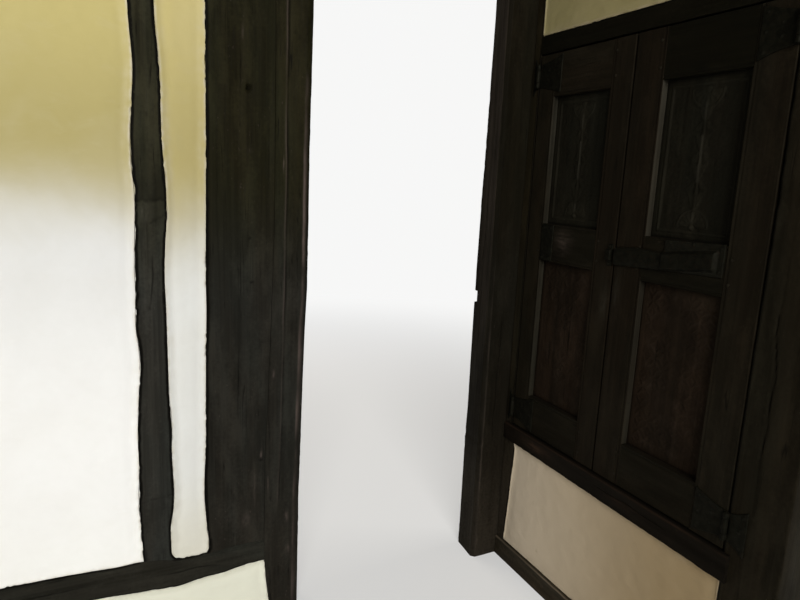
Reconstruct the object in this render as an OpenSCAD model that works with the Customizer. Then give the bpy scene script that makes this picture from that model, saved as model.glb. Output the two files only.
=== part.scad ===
// Corner of a timber-framed room: a wall with a doorway, and a return wall with a two-leaf cupboard.
// The origin is the inner corner of the two walls, at the floor.
// X runs along the door wall towards the corner, Y runs out through the doorway, Z is up.
// Sizes are millimetres.

/* [Walls] */
// Thickness of both walls
wall_t = 126; // [110:1:160]
// Height of the frame above the floor
wall_h = 2440; // [2420:10:2560]
// Depth of the top plates
plate_h = 180; // [120:5:200]
// How far the plaster lies behind the timber faces
plaster_inset = 4; // [1:1:10]
// Width of the end post of the door wall
left_end_post_w = 170; // [120:5:220]
// Width of the end post of the return wall
right_end_post_w = 152; // [110:1:200]
// Height of the skirting board
skirting_h = 79; // [60:1:110]

/* [Doorway] */
// Height of the underside of the door head
door_head_z = 2170; // [2150:5:2200]
// Width of the right door post, from the opening to the corner
right_post_w = 110; // [90:1:140]
// Width of the worn arris on the left door post at its foot
arris_foot = 26; // [15:1:40]
// Width of the worn arris on the left door post at its top
arris_top = 20; // [10:1:30]
// Width of the small chamfer on the right door post
right_chamfer = 15; // [4:1:20]
// Width of the scratched line along the left door post
bead_w = 6; // [2:1:10]
// Depth of that line
bead_d = 4; // [2:1:8]

/* [Cupboard] */
// Distance of the cupboard opening's near side from the corner
cup_near = 35; // [30:1:60]
// Distance of the cupboard opening's far side from the corner
cup_far = 969; // [940:1:1000]
// Height of the top of the cupboard sill
cup_sill_z = 577; // [540:1:620]
// Height of the underside of the cupboard header
cup_head_z = 1950; // [1900:1:1980]
// Height of the top of the header
header_top_z = 2014; // [2000:1:2060]
// Depth of the cupboard behind the wall
carcass_d = 280; // [180:10:400]
// Thickness of the cupboard's boards
board_t = 20; // [15:1:30]
// How far the sill and the skirting stand out from the wall
sill_proud = 12; // [6:1:25]

/* [Leaves] */
// Thickness of the stiles and rails
leaf_t = 34; // [28:1:40]
// How deep the panels lie behind the face
recess = 22; // [12:1:24]
// Clearance between the leaves and the opening
gap = 5; // [5:1:8]
// Clearance between the two leaves
meeting_gap = 7; // [7:1:12]
// Distance of the meeting line from the corner
meeting = 478; // [460:1:500]
// Width of the near leaf's stile on its hinge side
near_hinge_stile_w = 81; // [70:1:110]
// Width of the near leaf's stile at the meeting line
near_meeting_stile_w = 86.5; // [70:0.5:110]
// Width of the far leaf's stile on its hinge side
far_hinge_stile_w = 105; // [70:1:120]
// Width of the far leaf's stile at the meeting line
far_meeting_stile_w = 107.5; // [70:0.5:120]
// Height of the top of the bottom rail
bottom_rail_z = 720; // [690:1:760]
// Height of the underside of the middle rail
middle_rail_low_z = 1236; // [1200:1:1250]
// Height of the top of the middle rail
middle_rail_top_z = 1368; // [1340:1:1400]
// Height of the underside of the top rail
top_rail_z = 1803; // [1780:1:1840]

/* [Ironwork] */
// Thickness of the iron plates
plate_t = 3; // [2:0.5:4]
// Height of a hinge
hinge_h = 126; // [90:2:128]
// Width of a hinge plate on the near leaf
near_leaf_plate_w = 118; // [80:1:130]
// Width of a hinge plate on the far leaf
far_leaf_plate_w = 100; // [80:1:130]
// Width of a hinge plate on the corner post
near_post_plate_w = 26; // [16:1:28]
// Width of a hinge plate on the end post
far_post_plate_w = 56; // [30:1:90]
// Radius of the hinge pins
pin_r = 4; // [3:0.5:5]
// Radius of the hinge knuckles
knuckle_r = 7.5; // [7:0.5:10]
// Radial clearance of a knuckle on its pin
pin_clear = 0.06; // [0.02:0.01:0.1]
// Thickness of the plate under the bolt
bolt_plate_t = 16; // [8:1:20]
// Thickness of the bolt
bolt_t = 12; // [8:1:16]
// Width of the plate on the near leaf's middle rail
rail_plate_w = 61; // [40:1:90]

/* [Hidden] */
$fn = 48;
head_z = wall_h - plate_h;
// Height above which both door posts are straight
straight_z = door_head_z - 130;
wall_left = -1860;
wall_left_end = wall_left - left_end_post_w;
wall_right_end = -cup_far - right_end_post_w;
// Height of the sill's underside where the plaster below it starts, and its slope
plaster_corner = -66;
sill_low_z = 507;
sill_slope = 0.0133;
// Ends of the sill's nosing, and how far its underside lies above the sill's own
nosing_start = -5;
nosing_end = -cup_far - 20;
nosing_lift = 2;
skirting_chamfer = 5;
mortise_z = [1040, 1086];
mortise_d = 24;

leaf_z = [cup_sill_z + gap, cup_head_z - gap];
near_leaf_y = [-cup_near - gap, -meeting + meeting_gap / 2];
far_leaf_y = [-meeting - meeting_gap / 2, -cup_far + gap];
near_inner = [near_leaf_y[1] + near_meeting_stile_w, near_leaf_y[0] - near_hinge_stile_w];
far_inner = [far_leaf_y[1] + far_hinge_stile_w, far_leaf_y[0] - far_meeting_stile_w];

pin_x = -knuckle_r;
near_pin_y = -cup_near - gap / 2;
far_pin_y = -cup_far + gap / 2;
hinge_from_end = 6;
hinge_heights = [leaf_z[0] + hinge_from_end, leaf_z[1] - hinge_from_end - hinge_h];
// A hinge has three knuckles: the leaf's takes the middle third, the post's stand close above and below it
knuckle_h = hinge_h / 3;
outer_knuckle_h = knuckle_h * 0.4;
knuckle_gap = 0.5;
// Height of a hinge plate beside its pin, as a share of its full height
plate_waist = 0.62;
rail_plate_margin = 3;

// The bolt: ends of its plate, tip of the bar, and the keeper on the near leaf
bolt_plate_y = [-666, -856];
bolt_tip_y = far_leaf_y[0] - 2;
bolt_swell_y = -560;
keeper_from_edge = 4;
keeper_w = 20;
keeper_t = 14;
keeper_z = [1262, 1330];

wood_dark = [0.17, 0.15, 0.12];
wood_brown = [0.24, 0.15, 0.10];
wood_black = [0.10, 0.10, 0.09];
plaster_white = [0.93, 0.90, 0.83];
iron = [0.08, 0.08, 0.08];

// Height, near arris and far arris of the right door post, which is a little twisted
right_post_sides = [
    [0, -right_post_w - 11, -right_post_w - 3],
    [1300, -right_post_w - 9, -right_post_w + 1],
    [straight_z, -right_post_w - 8, -right_post_w + 11],
    [head_z - 0.01, -right_post_w - 8, -right_post_w + 11]
];

// Edges of the hand-cut timbers, as points of distance from the corner and height
beam_end = -973;
wavy_left = [
    [-1354, 350], [-1360, 480], [-1354, 610], [-1355, 710], [-1349, 820], [-1340, 930], [-1344, 990],
    [-1350, 1045], [-1346, 1150], [-1346, 1250], [-1339, 1400], [-1340, 1455], [-1346, 1510],
    [-1345, 1600], [-1333, 1740], [-1332, 1790], [-1339, 1900], [-1341, head_z]
];
wavy_right = [
    [-1268, 330], [-1269, 390], [-1257, 450], [-1254, 510], [-1259, 640], [-1255, 700], [-1257, 755],
    [-1262, 830], [-1263, 1090], [-1266, 1200], [-1260, 1305], [-1254, 1370], [-1254, 1450],
    [-1262, 1560], [-1263, 1620], [-1261, 1700], [-1264, 1800], [-1271, 1890], [-1276, head_z]
];
wide_left = [
    [-1152, 300], [-1160, 380], [-1165, 460], [-1164, 520], [-1157, 690], [-1154, 900], [-1149, 1090],
    [-1150, 1180], [-1146, 1390], [-1141, 1760], [-1139, head_z]
];
post_left = [
    [-953, 0], [beam_end, 204], [-970, 588], [-960, 778], [-948, 1109], [-941, 1330], [-938, head_z]
];
post_right = [
    [-850, 0], [-848, 430], [-835, 980], [-828, 1130], [-826, 1580], [-819, straight_z], [-819, head_z]
];
bead_line = [[-923, 387], [-913, 635], [-903, 1107], [-899, 1400], [-898, head_z]];
beam_top = [
    [wall_left, 304], [-1580, 301], [-1420, 292], [-1357, 295], [-1268, 277], [-1157, 275], [beam_end, 283]
];
beam_bottom = [
    [wall_left, 200], [-1470, 198], [-1380, 189], [-1250, 178], [-1165, 190], [-1105, 190], [-1060, 199],
    [beam_end, 204]
];

function swap(points) = [for (p = points) [p[1], p[0]]];
function reversed(points) = [for (i = [len(points) - 1:-1:0]) points[i]];
// Distance from the corner of an upright edge at a height, and height of a level edge at a distance
function edge_at(points, z) = lookup(z, swap(points));
function height_at(points, x) = lookup(x, points);
// An upright edge carried down to the top of the sill beam
function on_beam(points) = concat([[points[0][0], height_at(beam_top, points[0][0])]], points);
// The points of the beam's top that lie between two edges
function beam_between(x0, x1) = [for (p = beam_top) if (p[0] > x0 && p[0] < x1) p];
// Height of the underside of the cupboard sill, which drops a little away from the corner
function sill_bottom(y) = sill_low_z + sill_slope * (y - plaster_corner);

// Extrudes an outline drawn in X and Z through the door wall, from one depth to another
module through_front(points, y0 = 0, y1 = wall_t) {
    translate([0, y1, 0])
        rotate([90, 0, 0])
            linear_extrude(y1 - y0)
                polygon(points);
}

// Extrudes an outline drawn in Y and Z through the return wall, from one depth to another
module through_side(points, x0 = 0, x1 = wall_t) {
    translate([x0, 0, 0])
        rotate([90, 0, 90])
            linear_extrude(x1 - x0)
                polygon(points);
}

module block(low, high) {
    translate(low)
        cube(high - low);
}

module end_post_left() {
    color(wood_dark)
        block([wall_left_end, 0, 0], [wall_left, wall_t, head_z]);
}

module sill_beam() {
    color(wood_dark)
        through_front(concat(beam_bottom, reversed(beam_top)));
}

module plinth() {
    foot = [post_left[0], [wall_left, 0]];
    color(plaster_white)
        through_front(concat(foot, beam_bottom), plaster_inset, wall_t - plaster_inset);
}

module wavy_stud() {
    color(wood_dark)
        through_front(concat(on_beam(wavy_right), reversed(on_beam(wavy_left))));
}

module wide_stud() {
    foot = [beam_end, height_at(beam_top, beam_end)];
    right = concat([foot], [for (p = post_left) if (p[1] > foot[1]) p]);
    color(wood_dark)
        through_front(concat(right, reversed(on_beam(wide_left))));
}

module plaster_wide_panel() {
    right = on_beam(wavy_left);
    outline = concat(
        [[wall_left, head_z], beam_top[0]],
        beam_between(wall_left, right[0][0]),
        right
    );
    color(plaster_white)
        through_front(outline, plaster_inset, wall_t - plaster_inset);
}

module plaster_narrow_panel() {
    left = on_beam(wavy_right);
    right = on_beam(wide_left);
    outline = concat(reversed(left), beam_between(left[0][0], right[0][0]), right);
    color(plaster_white)
        through_front(outline, plaster_inset, wall_t - plaster_inset);
}

// A thin slice of the worn arris at a point of the post's edge: wide at the foot, narrow at the top
module arris_section(p) {
    w = arris_foot + (arris_top - arris_foot) * p[1] / head_z;
    translate([p[0], 0, p[1] - 0.005])
        linear_extrude(0.01)
            polygon([[-w, -1], [1, -1], [1, w * 0.7]]);
}

module worn_arris() {
    for (i = [0:len(post_right) - 3])
        hull() {
            arris_section(post_right[i]);
            arris_section(post_right[i + 1]);
        }
}

module door_post_left() {
    bead = concat(
        [for (p = bead_line) p - [bead_w / 2, 0]],
        reversed([for (p = bead_line) p + [bead_w / 2, 0]])
    );
    color(wood_dark)
        difference() {
            through_front(concat(post_right, reversed(post_left)));
            through_front(bead, -1, bead_d);
            worn_arris();
        }
}

module door_head() {
    left = edge_at(post_right, head_z);
    near = right_post_sides[3][1];
    color(wood_dark)
        translate([0, 0, door_head_z])
            linear_extrude(head_z - door_head_z)
                polygon([
                    [left, 0], [near + right_chamfer, 0], [near, right_chamfer],
                    [right_post_sides[3][2], wall_t], [left, wall_t]
                ]);
}

// The corners of the right door post at one height, from its chamfer round to its far arris
function right_post_section(p) = [
    [p[1] + right_chamfer, 0, p[0]], [0, 0, p[0]], [0, wall_t, p[0]], [p[2], wall_t, p[0]],
    [p[1], right_chamfer, p[0]]
];

// The twisted post, as a skin over its sections: two triangles for each side between two heights
module twisted_post() {
    sides = 5;
    last = (len(right_post_sides) - 1) * sides;
    walls = [
        for (low = [0:sides:last - sides]) for (i = [0:sides - 1])
            let (a = low + i, b = low + (i + 1) % sides)
                each [[a, a + sides, b + sides], [a, b + sides, b]]
    ];
    polyhedron(
        [for (p = right_post_sides) each right_post_section(p)],
        concat([[0, 1, 2, 3, 4]], walls, [[for (i = [sides - 1:-1:0]) last + i]])
    );
}

module door_post_right() {
    color(wood_dark)
        difference() {
            twisted_post();
            // Mortise left by an old door catch
            block(
                [-right_post_w - 20, wall_t - mortise_d, mortise_z[0]],
                [-right_post_w + 14, wall_t + 1, mortise_z[1]]
            );
        }
}

module corner_post() {
    foot = [
        [wall_t, 0], [-cup_near, 0], [-cup_near, skirting_h], [plaster_corner, sill_bottom(plaster_corner)],
        [-cup_near, sill_bottom(-cup_near)], [-cup_near, head_z], [wall_t, head_z]
    ];
    color(wood_dark)
        through_side(foot);
}

module top_plate_front() {
    color(wood_dark)
        block([wall_left_end, 0, head_z], [wall_t, wall_t, wall_h]);
}

module top_plate_side() {
    color(wood_dark)
        block([0, wall_right_end, head_z], [wall_t, 0, wall_h]);
}

module end_post_right() {
    color(wood_dark)
        block([0, wall_right_end, 0], [wall_t, -cup_far, head_z]);
}

module plaster_over_cupboard() {
    color(plaster_white)
        block([plaster_inset, -cup_far, header_top_z], [wall_t - plaster_inset, -cup_near, head_z]);
}

module cupboard_header() {
    color(wood_black)
        block([0, -cup_far, cup_head_z], [wall_t, -cup_near, header_top_z]);
}

module cupboard_sill() {
    body = [
        [-cup_far, sill_bottom(-cup_far)], [plaster_corner, sill_bottom(plaster_corner)],
        [-cup_near, sill_bottom(-cup_near)], [-cup_near, cup_sill_z], [-cup_far, cup_sill_z]
    ];
    nosing = [
        [nosing_end, sill_bottom(nosing_end) + nosing_lift],
        [nosing_start, sill_bottom(nosing_start) + nosing_lift],
        [nosing_start, cup_sill_z], [nosing_end, cup_sill_z]
    ];
    color(wood_brown) {
        through_side(body);
        through_side(nosing, -sill_proud, 0);
    }
}

module plaster_under_cupboard() {
    outline = [
        [-cup_far, 0], [-cup_near, 0], [-cup_near, skirting_h],
        [plaster_corner, sill_bottom(plaster_corner)], [-cup_far, sill_bottom(-cup_far)]
    ];
    color(plaster_white)
        through_side(outline, 0, wall_t - plaster_inset);
}

module skirting_board() {
    c = skirting_chamfer;
    section = [
        [-sill_proud, 0], [0, 0], [0, skirting_h], [c - sill_proud, skirting_h], [-sill_proud, skirting_h - c]
    ];
    color(wood_brown)
        translate([0, -2, 0])
            rotate([90, 0, 0])
                linear_extrude(cup_far - 2)
                    polygon(section);
}

module cupboard_back() {
    color(wood_brown)
        block(
            [wall_t + carcass_d - board_t, -cup_far - board_t, cup_sill_z - board_t],
            [wall_t + carcass_d, -cup_near + board_t, cup_head_z + board_t]
        );
}

// A level board of the cupboard, as deep as the carcass inside its back
module cupboard_shelf_board(z) {
    color(wood_brown)
        block(
            [wall_t, -cup_far - board_t, z],
            [wall_t + carcass_d - board_t, -cup_near + board_t, z + board_t]
        );
}

module cupboard_top() {
    cupboard_shelf_board(cup_head_z);
}

module cupboard_base() {
    cupboard_shelf_board(cup_sill_z - board_t);
}

module cupboard_side(y) {
    color(wood_brown)
        block([wall_t, y, cup_sill_z], [wall_t + carcass_d - board_t, y + board_t, cup_head_z]);
}

module cupboard_side_near() {
    cupboard_side(-cup_near);
}

module cupboard_side_far() {
    cupboard_side(-cup_far - board_t);
}

// A flared hinge plate lying on a face, from the pin outwards: narrow there, full height at its end
module hinge_plate(w) {
    waist = hinge_h * plate_waist;
    translate([knuckle_r - plate_t, 0, 0])
        rotate([90, 0, 90])
            linear_extrude(plate_t)
                polygon([
                    [knuckle_r, (hinge_h - waist) / 2], [w, 0], [w, hinge_h],
                    [knuckle_r, (hinge_h + waist) / 2]
                ]);
}

// One length of knuckle round the pin, from one height to another, joined to its plate by a web
module knuckle(z0, z1) {
    translate([0, 0, z0])
        cylinder(r = knuckle_r, h = z1 - z0);
    block([knuckle_r - plate_t, 0, z0], [knuckle_r, knuckle_r + 1, z1]);
}

// The half of a hinge on a post: a plate, the upper and lower knuckles, and the pin through all three
module post_hinge(w) {
    low = knuckle_h - outer_knuckle_h;
    top = hinge_h - low;
    hinge_plate(w);
    knuckle(low, knuckle_h - knuckle_gap);
    knuckle(2 * knuckle_h + knuckle_gap, top);
    translate([0, 0, low])
        cylinder(r = pin_r, h = top - low);
}

// The half of a hinge on a leaf: a plate and the middle knuckle, bored for the pin
module leaf_hinge(w) {
    hinge_plate(w);
    difference() {
        knuckle(knuckle_h, 2 * knuckle_h);
        translate([0, 0, knuckle_h - 1])
            cylinder(r = pin_r + pin_clear, h = knuckle_h + 2);
    }
}

// Stands the hinges of one side at their two heights, with the plates laid away from the corner or towards it
module at_hinges(y, away) {
    for (z = hinge_heights)
        translate([pin_x, y, z])
            mirror([0, away ? 1 : 0, 0])
                children();
}

module near_post_hinges() {
    color(iron)
        at_hinges(near_pin_y, false) post_hinge(near_post_plate_w);
}

module far_post_hinges() {
    color(iron)
        at_hinges(far_pin_y, true) post_hinge(far_post_plate_w);
}

module near_leaf_hinges() {
    color(iron)
        at_hinges(near_pin_y, true) leaf_hinge(near_leaf_plate_w);
}

module far_leaf_hinges() {
    color(iron)
        at_hinges(far_pin_y, false) leaf_hinge(far_leaf_plate_w);
}

// The two stiles of a leaf, from its two sides (y) to the two sides of its panels (inner)
module stiles(y, inner) {
    color(wood_black) {
        block([0, inner[1], leaf_z[0]], [leaf_t, y[0], leaf_z[1]]);
        block([0, y[1], leaf_z[0]], [leaf_t, inner[0], leaf_z[1]]);
    }
}

// The three rails of a leaf, between its stiles
module rails(inner) {
    spans = [
        [leaf_z[0], bottom_rail_z], [middle_rail_low_z, middle_rail_top_z], [top_rail_z, leaf_z[1]]
    ];
    color(wood_black)
        for (z = spans)
            block([0, inner[0], z[0]], [leaf_t, inner[1], z[1]]);
}

module upper_panel(inner) {
    color(wood_black)
        block([recess, inner[0], middle_rail_top_z], [leaf_t, inner[1], top_rail_z]);
}

module lower_panel(inner) {
    color(wood_brown)
        block([recess, inner[0], bottom_rail_z], [leaf_t, inner[1], middle_rail_low_z]);
}

module near_leaf_stiles() {
    stiles(near_leaf_y, near_inner);
}

module near_leaf_rails() {
    rails(near_inner);
}

module near_leaf_upper_panel() {
    upper_panel(near_inner);
}

module near_leaf_lower_panel() {
    lower_panel(near_inner);
}

module near_rail_plate() {
    side = near_inner[1] - 1;
    m = rail_plate_margin;
    color(iron)
        block([-plate_t, side - rail_plate_w, middle_rail_low_z + m], [0, side, middle_rail_top_z - m]);
}

module bolt_keeper() {
    side = near_leaf_y[1] + keeper_from_edge;
    color(iron)
        block([-keeper_t, side, keeper_z[0]], [0, side + keeper_w, keeper_z[1]]);
}

module far_leaf_stiles() {
    stiles(far_leaf_y, far_inner);
}

module far_leaf_rails() {
    rails(far_inner);
}

module far_leaf_upper_panel() {
    upper_panel(far_inner);
}

module far_leaf_lower_panel() {
    lower_panel(far_inner);
}

module bolt_plate() {
    outline = [
        [bolt_plate_y[1], 1285], [bolt_plate_y[0], 1278], [bolt_plate_y[0], 1366], [bolt_plate_y[1], 1372]
    ];
    color(iron)
        through_side(outline, -bolt_plate_t, 0);
}

module bolt_bar() {
    outline = [
        [bolt_plate_y[0], 1278], [bolt_tip_y, 1268], [bolt_tip_y, 1322], [bolt_swell_y, 1332],
        [bolt_plate_y[0], 1326]
    ];
    color(iron)
        through_side(outline, -bolt_t, 0);
}

end_post_left();
sill_beam();
plinth();
wavy_stud();
wide_stud();
plaster_wide_panel();
plaster_narrow_panel();
door_post_left();
door_head();
door_post_right();
corner_post();
top_plate_front();
top_plate_side();
end_post_right();
plaster_over_cupboard();
cupboard_header();
cupboard_sill();
plaster_under_cupboard();
skirting_board();
cupboard_back();
cupboard_top();
cupboard_base();
cupboard_side_near();
cupboard_side_far();
near_post_hinges();
far_post_hinges();
near_leaf_stiles();
near_leaf_rails();
near_leaf_upper_panel();
near_leaf_lower_panel();
near_leaf_hinges();
near_rail_plate();
bolt_keeper();
far_leaf_stiles();
far_leaf_rails();
far_leaf_upper_panel();
far_leaf_lower_panel();
far_leaf_hinges();
bolt_plate();
bolt_bar();
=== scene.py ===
import math

import bpy
import numpy as np
from mathutils import Matrix, Vector


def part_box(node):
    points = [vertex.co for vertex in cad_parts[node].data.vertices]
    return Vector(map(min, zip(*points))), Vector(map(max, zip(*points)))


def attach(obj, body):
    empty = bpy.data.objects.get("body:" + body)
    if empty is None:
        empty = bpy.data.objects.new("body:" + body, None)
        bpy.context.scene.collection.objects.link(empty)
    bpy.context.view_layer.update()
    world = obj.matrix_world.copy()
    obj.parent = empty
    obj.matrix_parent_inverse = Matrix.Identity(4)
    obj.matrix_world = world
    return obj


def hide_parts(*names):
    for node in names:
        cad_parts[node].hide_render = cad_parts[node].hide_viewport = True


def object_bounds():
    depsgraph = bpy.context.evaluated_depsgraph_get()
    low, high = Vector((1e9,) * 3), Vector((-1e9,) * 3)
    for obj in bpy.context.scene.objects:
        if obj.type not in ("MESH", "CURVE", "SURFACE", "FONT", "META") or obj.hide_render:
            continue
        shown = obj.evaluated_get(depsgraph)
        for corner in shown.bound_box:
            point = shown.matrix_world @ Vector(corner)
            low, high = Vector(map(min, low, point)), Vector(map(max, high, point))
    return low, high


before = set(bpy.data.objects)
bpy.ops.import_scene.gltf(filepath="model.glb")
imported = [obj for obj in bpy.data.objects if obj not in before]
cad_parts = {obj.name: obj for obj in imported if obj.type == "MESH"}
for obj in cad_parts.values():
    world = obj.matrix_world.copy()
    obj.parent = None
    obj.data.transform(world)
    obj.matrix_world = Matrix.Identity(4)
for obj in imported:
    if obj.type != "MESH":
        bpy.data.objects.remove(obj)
cadLow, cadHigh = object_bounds()
print("frame loaded")

xAxis, yAxis, zAxis = 0, 1, 2
wallAxes, beamAxes = (zAxis, xAxis, yAxis), (xAxis, zAxis, yAxis)     # along, across, depth
returnAxes, returnBeamAxes = (zAxis, yAxis, xAxis), (yAxis, zAxis, xAxis)
levelAxes = (yAxis, xAxis, zAxis)
frontPlane, backPlane = 0.0, 0.126     # the two faces of both walls
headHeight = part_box("top_plate_front")[0].z


# Numbers that vary smoothly

def hashedNumber(ix, iy, iz, seed):
    # whole numbers times large primes, mixed with xor and shifts, then scaled to -1..1
    n = (ix * 73856093) ^ (iy * 19349663) ^ (iz * 83492791) ^ (seed * 2654435761 + 374761393)
    n = (n & 0xFFFFFFFF).astype(np.uint64)
    n = ((n ^ (n >> np.uint64(13))) * np.uint64(1274126177)) & np.uint64(0xFFFFFFFF)
    n = n ^ (n >> np.uint64(16))
    return n.astype(float) / 0x7FFFFFFF - 1.0


def smoothNoise(x, y=0.0, z=0.0, seed=0):
    # hashed numbers at whole-number corners, blended along each axis by t*t*(3 - 2*t)
    x, y, z = (np.asarray(v, float) for v in np.broadcast_arrays(x, y, z))
    cells = [np.floor(v).astype(np.int64) for v in (x, y, z)]
    parts = [v - c for v, c in zip((x, y, z), cells)]
    blends = [p * p * (3 - 2 * p) for p in parts]
    total = np.zeros(x.shape)
    for corner in range(8):
        steps = [(corner >> k) & 1 for k in range(3)]
        weight = 1.0
        for s, b in zip(steps, blends):
            weight = weight * (b if s else 1 - b)
        total += weight * hashedNumber(*(c + s for c, s in zip(cells, steps)), seed)
    return total


def layeredNoise(x, y=0.0, z=0.0, seed=0, layers=3):
    # smooth noise plus half as much at twice the frequency, and so on
    total, share, scale = 0.0, 1.0, 1.0
    for k in range(layers):
        total = total + share * smoothNoise(x * scale, y * scale, z * scale, seed + 17 * k)
        share *= 0.5
        scale *= 2.03
    return total


def ease(v):
    # 0 below 0, 1 above 1, and t*t*(3 - 2*t) between
    v = np.clip(v, 0, 1)
    return v * v * (3 - 2 * v)


# Meshes from arrays

def buildMesh(name, points, quads, caps=(), flip=False, sharpAngle=50):
    # points (n, 3), quads (m, 4) and a few faces of many sides; flip turns every face over
    loops = [np.asarray(quads, np.int64).reshape(-1)] + [np.asarray(c, np.int64) for c in caps]
    sizes = [np.full(len(quads), 4, np.int64)] + [np.array([len(c)], np.int64) for c in caps]
    if flip:
        loops = [loops[0].reshape(-1, 4)[:, ::-1].reshape(-1)] + [c[::-1] for c in loops[1:]]
    loops, sizes = np.concatenate(loops), np.concatenate(sizes)
    starts = np.concatenate([[0], np.cumsum(sizes)[:-1]])
    mesh = bpy.data.meshes.new(name)
    mesh.vertices.add(len(points))
    mesh.vertices.foreach_set("co", np.asarray(points, np.float32).reshape(-1))
    mesh.loops.add(len(loops))
    mesh.loops.foreach_set("vertex_index", loops.astype(np.int32))
    mesh.polygons.add(len(sizes))
    mesh.polygons.foreach_set("loop_start", starts.astype(np.int32))
    mesh.polygons.foreach_set("loop_total", sizes.astype(np.int32))
    mesh.polygons.foreach_set("use_smooth", np.ones(len(sizes), bool))
    mesh.update(calc_edges=True)
    mesh.validate()
    mesh.set_sharp_from_angle(angle=math.radians(sharpAngle))
    return mesh


def storeNumbers(mesh, name, values):
    # one number, or one direction of three numbers, for each vertex
    values = np.asarray(values, np.float32)
    kind = "FLOAT" if values.ndim == 1 else "FLOAT_VECTOR"
    layer = mesh.attributes.new(name, kind, "POINT")
    layer.data.foreach_set("value" if values.ndim == 1 else "vector", values.reshape(-1))


def ringQuads(rows, columns):
    # faces of a tube whose rings have the same number of points
    r, c = np.meshgrid(np.arange(rows - 1), np.arange(columns), indexing="ij")
    a, b = r * columns + c, r * columns + (c + 1) % columns
    return np.stack([a, b, b + columns, a + columns], -1).reshape(-1, 4)


def ringCaps(rows, columns):
    # the two end faces of such a tube
    return [np.arange(columns)[::-1], (rows - 1) * columns + np.arange(columns)]


def sheetQuads(rows, columns):
    # faces of an open grid
    r, c = np.meshgrid(np.arange(rows - 1), np.arange(columns - 1), indexing="ij")
    a = r * columns + c
    return np.stack([a, a + 1, a + 1 + columns, a + columns], -1).reshape(-1, 4)


def turnsInward(axes):
    # faces made from across to along look outward at the front only where across, depth and along are
    # right-handed
    along, across, depth = axes
    return (across, depth, along) not in ((0, 1, 2), (1, 2, 0), (2, 0, 1))


def addPiece(name, mesh, body, replaced, material):
    piece = bpy.data.objects.new(name, mesh)
    bpy.context.scene.collection.objects.link(piece)
    mesh.materials.append(material)
    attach(piece, body)
    if replaced:
        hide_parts(*replaced)


# Edges of the frame's own timbers

def nodeEdge(node, axes, plane, side):
    # the CAD node's outline on one plane: for each height (along), its lowest or highest place (across)
    along, across, depth = axes
    points = np.array([v.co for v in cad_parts[node].data.vertices])
    points = points[np.abs(points[:, depth] - plane) < 2e-4]
    middle = (points[:, across].min() + points[:, across].max()) / 2
    points = points[(points[:, across] > middle) if side > 0 else (points[:, across] < middle)]
    heights = np.unique(np.round(points[:, along], 5))
    found = [points[np.abs(points[:, along] - h) < 1e-4, across] for h in heights]
    return heights, np.array([p.max() if side > 0 else p.min() for p in found])


def edgeAt(edge, t, softness=0.022):
    # a function of t, one place, or the broken line through an edge's points, averaged over a bell-shaped
    # window of t
    if callable(edge):
        return edge(t)
    if np.isscalar(edge):
        return np.full(len(t), float(edge))
    offsets = np.linspace(-2, 2, 13)
    weights = np.exp(-offsets ** 2)
    samples = np.interp(t[:, None] + softness * offsets, edge[0], edge[1])
    return samples @ (weights / weights.sum())


# Nodes of the materials

class Nodes:
    # adds nodes to one tree; all but put and add give the new node's output
    def __init__(self, tree):
        self.tree = tree

    def put(self, value, socket):
        # another node's socket is linked, anything else is set, and a colour is made opaque
        if isinstance(value, bpy.types.NodeSocket):
            self.tree.links.new(value, socket)
        else:
            socket.default_value = (*value, 1) if socket.type == "RGBA" else value

    def add(self, kind, values=None, **settings):
        # values say what goes into each input, by its name or number
        node = self.tree.nodes.new("ShaderNode" + kind)
        for key, value in settings.items():
            setattr(node, key, value)
        for key, value in (values or {}).items():
            self.put(value, node.inputs[key])
        return node

    def maths(self, operation, a, b=0.0, clamp=False):
        return self.add("Math", {0: a, 1: b}, operation=operation, use_clamp=clamp).outputs[0]

    def times(self, a, b, clamp=False):
        return self.maths("MULTIPLY", a, b, clamp)

    def plus(self, a, b):
        return self.maths("ADD", a, b)

    def minus(self, a, b):
        return self.maths("SUBTRACT", a, b)

    def weighted(self, *terms):
        # the sum of each value times its share
        *others, total = [self.times(value, share) for value, share in terms]
        for product in reversed(others):
            total = self.plus(product, total)
        return total

    def remap(self, value, low, high, newLow=0.0, newHigh=1.0):
        # goes smoothly from newLow to newHigh while the value goes from low to high
        ranges = {"Value": value, "From Min": low, "From Max": high, "To Min": newLow, "To Max": newHigh}
        return self.add("MapRange", ranges, interpolation_type="SMOOTHSTEP").outputs["Result"]

    def mix(self, factor, a, b, blend="MIX"):
        return self.add("Mix", {0: factor, 6: a, 7: b}, data_type="RGBA", blend_type=blend).outputs[2]

    def tinted(self, colour, tint):
        return self.mix(1.0, colour, tint, "MULTIPLY")

    def noise(self, vector, scale, detail=3.0, roughness=0.55, distortion=0.0):
        values = {"Vector": vector, "Scale": scale, "Detail": detail, "Roughness": roughness,
                  "Distortion": distortion}
        return self.add("TexNoise", values).outputs["Fac"]

    def stretched(self, vector, factors):
        return self.add("VectorMath", {0: vector, 1: factors}, operation="MULTIPLY").outputs[0]


def startGroup(name, inputs):
    # inputs by name: a colour or a number that it starts with, or None for a direction
    group = bpy.data.node_groups.new(name, "ShaderNodeTree")
    for label, value in inputs.items():
        kind = "Vector" if value is None else "Color" if isinstance(value, tuple) else "Float"
        socket = group.interface.new_socket(name=label, in_out="INPUT", socket_type="NodeSocket" + kind)
        if value is not None:
            socket.default_value = (*value, 1) if kind == "Color" else value
    for label, kind in (("Colour", "Color"), ("Roughness", "Float"), ("Height", "Float")):
        group.interface.new_socket(name=label, in_out="OUTPUT", socket_type="NodeSocket" + kind)
    return Nodes(group), group.nodes.new("NodeGroupInput").outputs


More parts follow.
